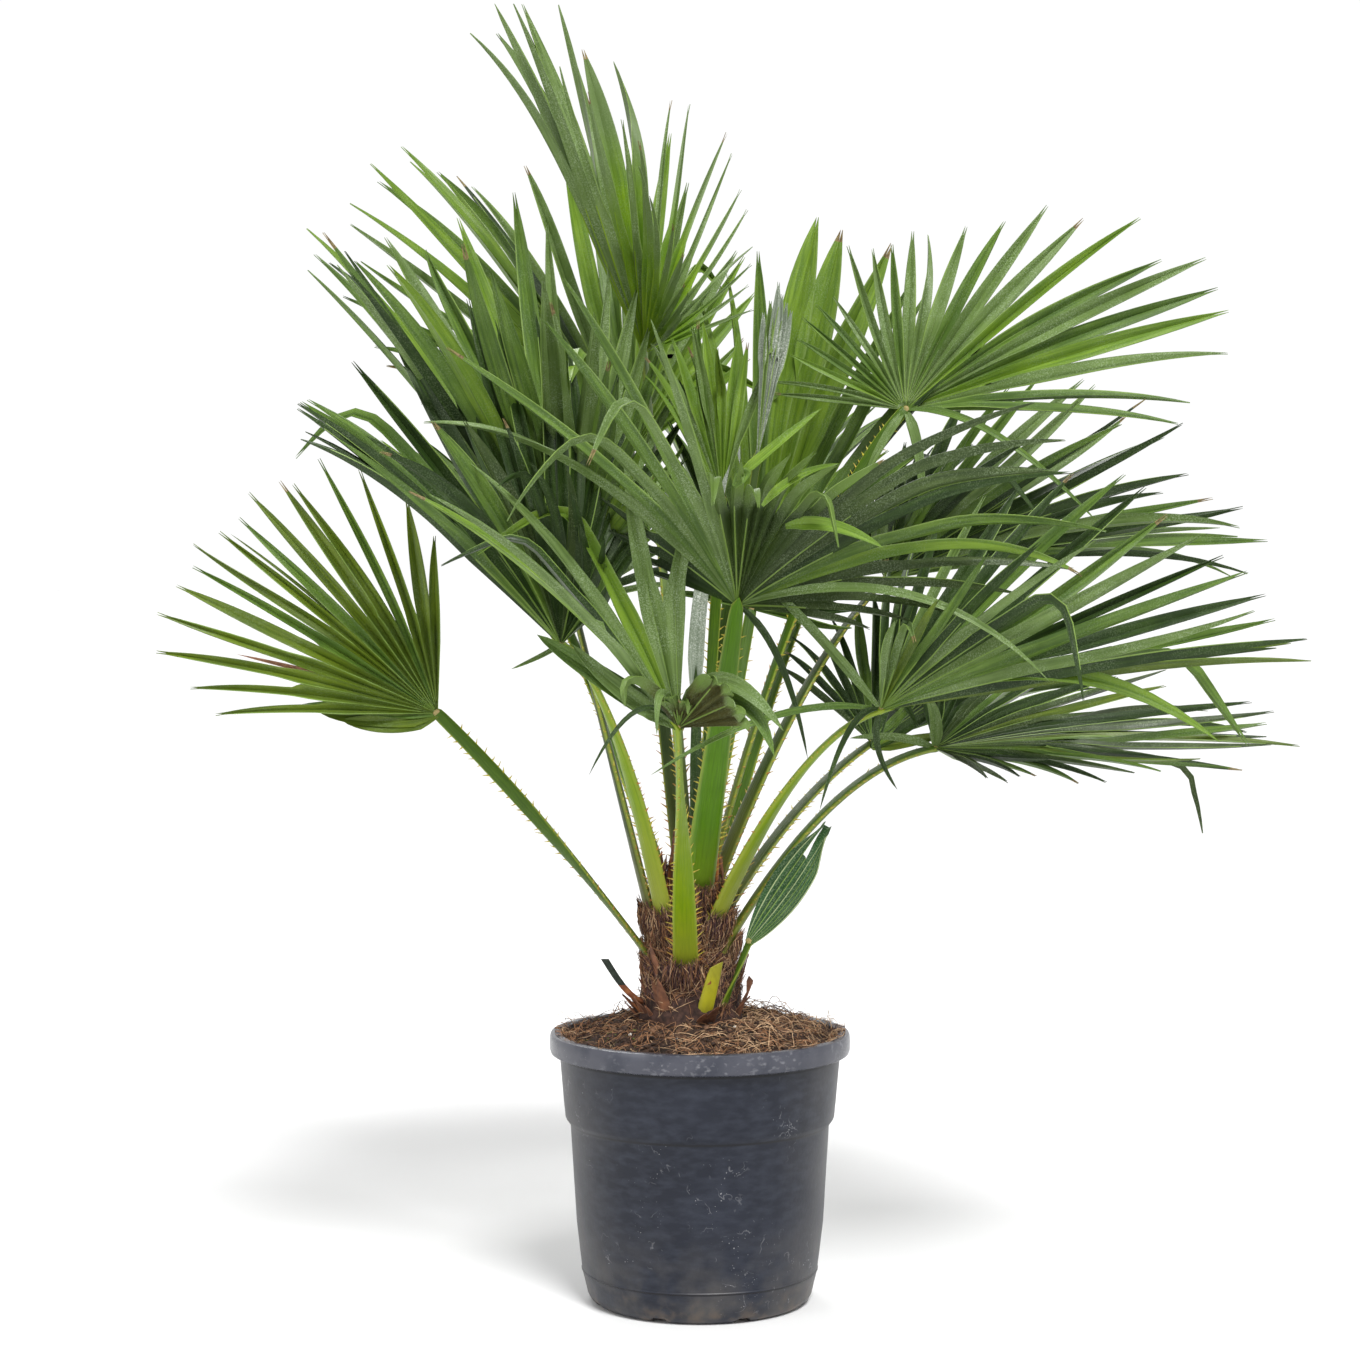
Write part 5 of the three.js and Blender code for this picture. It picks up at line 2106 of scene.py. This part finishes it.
@dataclass
class Soil:
    """The potting soil with its crumbs, roots, moss and white grains."""

    steps: int = 150
    top_rows: int = 60
    lid: float = 300.0
    side: tuple[Pair, ...] = (
        (137.3, 255.0), (132.0, 186.0), (127.0, 180.0), (120.5, 80.0), (114.5, 30.0), (108.5, 4.5),
        (0.0, 4.5),
    )
    root_count: int = 2400
    long_roots: int = 46
    root_spread: float = 136.0
    root_limit: float = 146.0
    rim_radius: float = 137.0
    rim_top: float = 272.0
    crumb_count: int = 1500
    crumb_spread: float = 134.0
    moss_share: float = 0.35
    grain_share: float = 0.014

    @staticmethod
    def painted_light_from_right(x: float) -> float:
        """Give how pale the roots and crumbs are painted, more to the right, as painted light that falls from
        the right.
        """
        return smooth((x + 60) / 160)

    def build_body(self) -> Piece:
        """Model and dress the soil's body.

        Returns:
            The piece.
        """
        bm = bmesh.new()
        top = [(GROUND.edge_radius * (share / self.top_rows), self.lid) for share in range(self.top_rows + 1)]
        spin_profile(bm, (*top, *self.side), self.steps)
        for vert in bm.verts:
            if vert.co.z > self.lid - 10:
                vert.co.z = GROUND.height(vert.co.x, vert.co.y)
        face_outwards(bm)
        return finish_piece(bm, "soil_body", [SOIL_DARK], Slot.SOIL, ("soil",), 80.0)

    def build_roots(self) -> Piece:
        """Model and dress the loose roots that lie on the soil.

        Returns:
            The piece.
        """
        chance = random.Random("soil roots")
        heap = Heap()
        for index in range(self.root_count):
            loose = index < self.long_roots
            radius = self.root_spread * math.sqrt(chance.uniform(0.12, 1.0))
            angle = chance.uniform(-0.9, 1.3) if loose else chance.uniform(0, TURN)
            at = Vector((math.cos(angle) * radius, math.sin(angle) * radius, 0))
            if loose or noise.noise(at * 0.045) >= -0.2:
                path = self.root_path(at, loose, chance)
                thick = chance.uniform(0.22, 0.55)
                # roots are paler to the right: painted light from the right
                lay_fibre(heap.bench(), path, thick, pick(chance, 4, 4, 1.5 + 5 * self.painted_light_from_right(path[0].x)))
        bm = heap.pour()
        close_shell(bm)
        finishes = [FIBRE_DARK, FIBRE_MID, FIBRE_TAN]
        return finish_piece(bm, "soil_roots", finishes, Slot.SOIL, (), FIBRE_CREASE)

    def root_path(self, at: Vector, loose: bool, chance: random.Random) -> list[Vector]:
        """Let one root wander over the soil and rise from it in a low arch.

        Args:
            at: where it starts.
            loose: whether it is one of the long roots that stand off the soil.
            chance: source of its irregularity.

        Returns:
            The points that it follows.
        """
        heading = chance.uniform(0, TURN)
        turn = chance.gauss(0, 0.3)
        hop = chance.uniform(3, 8) if loose else abs(chance.gauss(0, 1)) * chance.choice((1.2, 2.5, 4.0))
        length = chance.randint(12, 15) if loose else chance.randint(6, 10)
        run = chance.uniform(3.0, 7.5)
        path = []
        for step in range(length):
            stand = hop * math.sin(math.pi * step / (length - 1)) * 1.6 - 0.6
            reach = min(1.0, self.root_limit / max(1.0, math.hypot(at.x, at.y)))
            spot = Vector((at.x * reach, at.y * reach, 0))
            base = GROUND.height(spot.x, spot.y)
            if math.hypot(spot.x, spot.y) > self.rim_radius:
                base = max(base, self.rim_top)
            spot.z = base + stand
            path.append(spot)
            heading += turn * (0.4 if loose else 1.0) + chance.gauss(0, 0.18 if loose else 0.35)
            at = at + outwards(heading) * run
        return path

    def build_crumbs(self) -> Piece:
        """Model and dress the crumbs, moss and white grains.

        Returns:
            The piece.
        """
        chance = random.Random("soil crumbs")
        heap = Heap()
        for _ in range(self.crumb_count):
            radius = self.crumb_spread * math.sqrt(chance.uniform(0.1, 1.0))
            angle = chance.uniform(0, TURN)
            x = math.cos(angle) * radius
            y = math.sin(angle) * radius
            size = chance.uniform(0.9, 3.4) * chance.choice((0.7, 1.0, 1.3))
            # crumbs are browner to the right: painted light from the right
            material = pick(chance, 4, 1.5 + 4 * self.painted_light_from_right(x))
            if x < -60 and y < 40 and chance.random() < self.moss_share:
                material = 2
                size *= 0.5
            elif chance.random() < self.grain_share:
                material = 3
                size = chance.uniform(1.0, 1.9)
            at = Vector((x, y, GROUND.height(x, y) + size * 0.3))
            self.lay_crumb(heap.bench(), at, size, material, chance)
        finishes = [SOIL_DARK, SOIL_BROWN, MOSS, PERLITE]
        return finish_piece(heap.pour(), "soil_crumbs", finishes, Slot.SOIL, (), 60.0)

    @staticmethod
    def lay_crumb(bm: Mesh, at: Vector, size: float, material: int, chance: random.Random) -> None:
        """Add one crumb.

        Args:
            bm: the mesh that grows.
            at: its middle.
            size: its radius.
            material: index of its finish.
            chance: source of its shape.
        """
        stretch = Matrix.Diagonal((size * chance.uniform(0.7, 1.4), size, size * chance.uniform(0.5, 0.9), 1))
        turn = Matrix.Rotation(chance.uniform(0, TURN), 4, "Z")
        matrix = Matrix.Translation(at) @ turn @ stretch
        made = bmesh.ops.create_icosphere(bm, subdivisions=1, radius=1.0, matrix=matrix)["verts"]
        for vert in made:
            vert.co += shaken(chance) * (size * 0.14)
        colour_faces(made, material)


@dataclass
class Studio:
    """The pale floor, the soft lights and the camera."""

    camera_at: Triple = (-0.02, -3.0, 0.75)
    pitch: float = 2.4
    lens: float = 79.41
    sensor: float = 36.0
    clip: Pair = (0.1, 200.0)
    floor_size: float = 60.0
    floor_drop: float = 0.0003
    sky: float = 1.0
    zenith: float = 0.45
    horizon: float = 1.02
    haze: Pair = (0.22, 0.6)
    sun_from: Triple = (0.9, -2.5, 3.3)
    sun_power: float = 3.3
    sun_width: float = 20.0
    lamp_aim: Triple = (0, 0, 0.6)
    lights: tuple[tuple[str, Triple, float, float], ...] = (
        ("fill_light", (-2.6, -2.2, 1.8), 1.8, 25.0),
        ("back_light", (-0.8, 2.6, 2.9), 1.6, 50.0),
    )

    def build_floor(self) -> None:
        """Lay the floor."""
        bm = bmesh.new()
        bmesh.ops.create_circle(bm, cap_ends=True, segments=64, radius=self.floor_size)
        mesh = bpy.data.meshes.new("studio_floor")
        bm.to_mesh(mesh)
        bm.free()
        mesh.transform(Matrix.Translation((0, 0, -self.floor_drop)))
        mesh.materials.append(material_of(FLOOR))
        floor = add_object("studio_floor", mesh)

    def build_lights(self) -> None:
        """Set the sky and the lamps."""
        world = bpy.data.worlds.new("studio_sky")
        world.use_nodes = True
        tree = world.node_tree
        background = tree.nodes["Background"]
        background.inputs["Strength"].default_value = self.sky
        split = tree.nodes.new("ShaderNodeSeparateXYZ")
        haze = tree.nodes.new("ShaderNodeMapRange")
        haze.interpolation_type = "SMOOTHSTEP"
        haze.inputs["From Min"].default_value = self.haze[0]
        haze.inputs["From Max"].default_value = self.haze[1]
        haze.inputs["To Min"].default_value = self.horizon
        haze.inputs["To Max"].default_value = self.zenith
        tree.links.new(tree.nodes.new("ShaderNodeTexCoord").outputs["Generated"], split.inputs[0])
        tree.links.new(split.outputs["Z"], haze.inputs["Value"])
        tree.links.new(haze.outputs["Result"], background.inputs["Color"])
        bpy.context.scene.world = world
        sun = bpy.data.lights.new("key_light", "SUN")
        sun.energy = self.sun_power
        sun.angle = math.radians(self.sun_width)
        holder = add_object("key_light", sun)
        holder.rotation_euler = Vector(self.sun_from).to_track_quat("Z", "Y").to_euler()
        for name, at, size, power in self.lights:
            lamp = bpy.data.lights.new(name, "AREA")
            lamp.size = size
            lamp.energy = power
            holder = add_object(name, lamp)
            holder.location = at
            aim = Vector(self.lamp_aim) - Vector(at)
            holder.rotation_euler = aim.to_track_quat("-Z", "Y").to_euler()

    def build_camera(self) -> None:
        """Set the camera at the photograph's place."""
        camera = bpy.data.cameras.new("photo_camera")
        camera.lens = self.lens
        camera.sensor_width = self.sensor
        camera.clip_start, camera.clip_end = self.clip
        holder = add_object("photo_camera", camera)
        holder.location = self.camera_at
        holder.rotation_euler = (math.radians(90 - self.pitch), 0, 0)
        bpy.context.scene.camera = holder
        bpy.context.scene.view_settings.view_transform = "Standard"


def main() -> None:
    """Build the palm's pieces in order."""
    logging.basicConfig(level=logging.INFO, format="%(relativeCreated)d %(name)s: %(message)s")
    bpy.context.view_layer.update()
    studio = Studio()
    studio.build_floor()
    studio.build_lights()
    studio.build_camera()
    NurseryPot().build()
    soil = Soil()
    soil.build_body()
    soil.build_crumbs()
    soil.build_roots()
    trunk = Trunk()
    trunk.build_core()
    trunk.build_fibres()
    trunk.build_sheaths()
    for stub in OLD_STUBS:
        stub.build()
    for plan in (*LEAVES, YOUNG):
        Stalk(plan).build()
    for plan in LEAVES:
        Frond(plan).build()
    YoungBlade().build()
    LooseLeaflets().build()


if __name__ == "__main__":
    main()
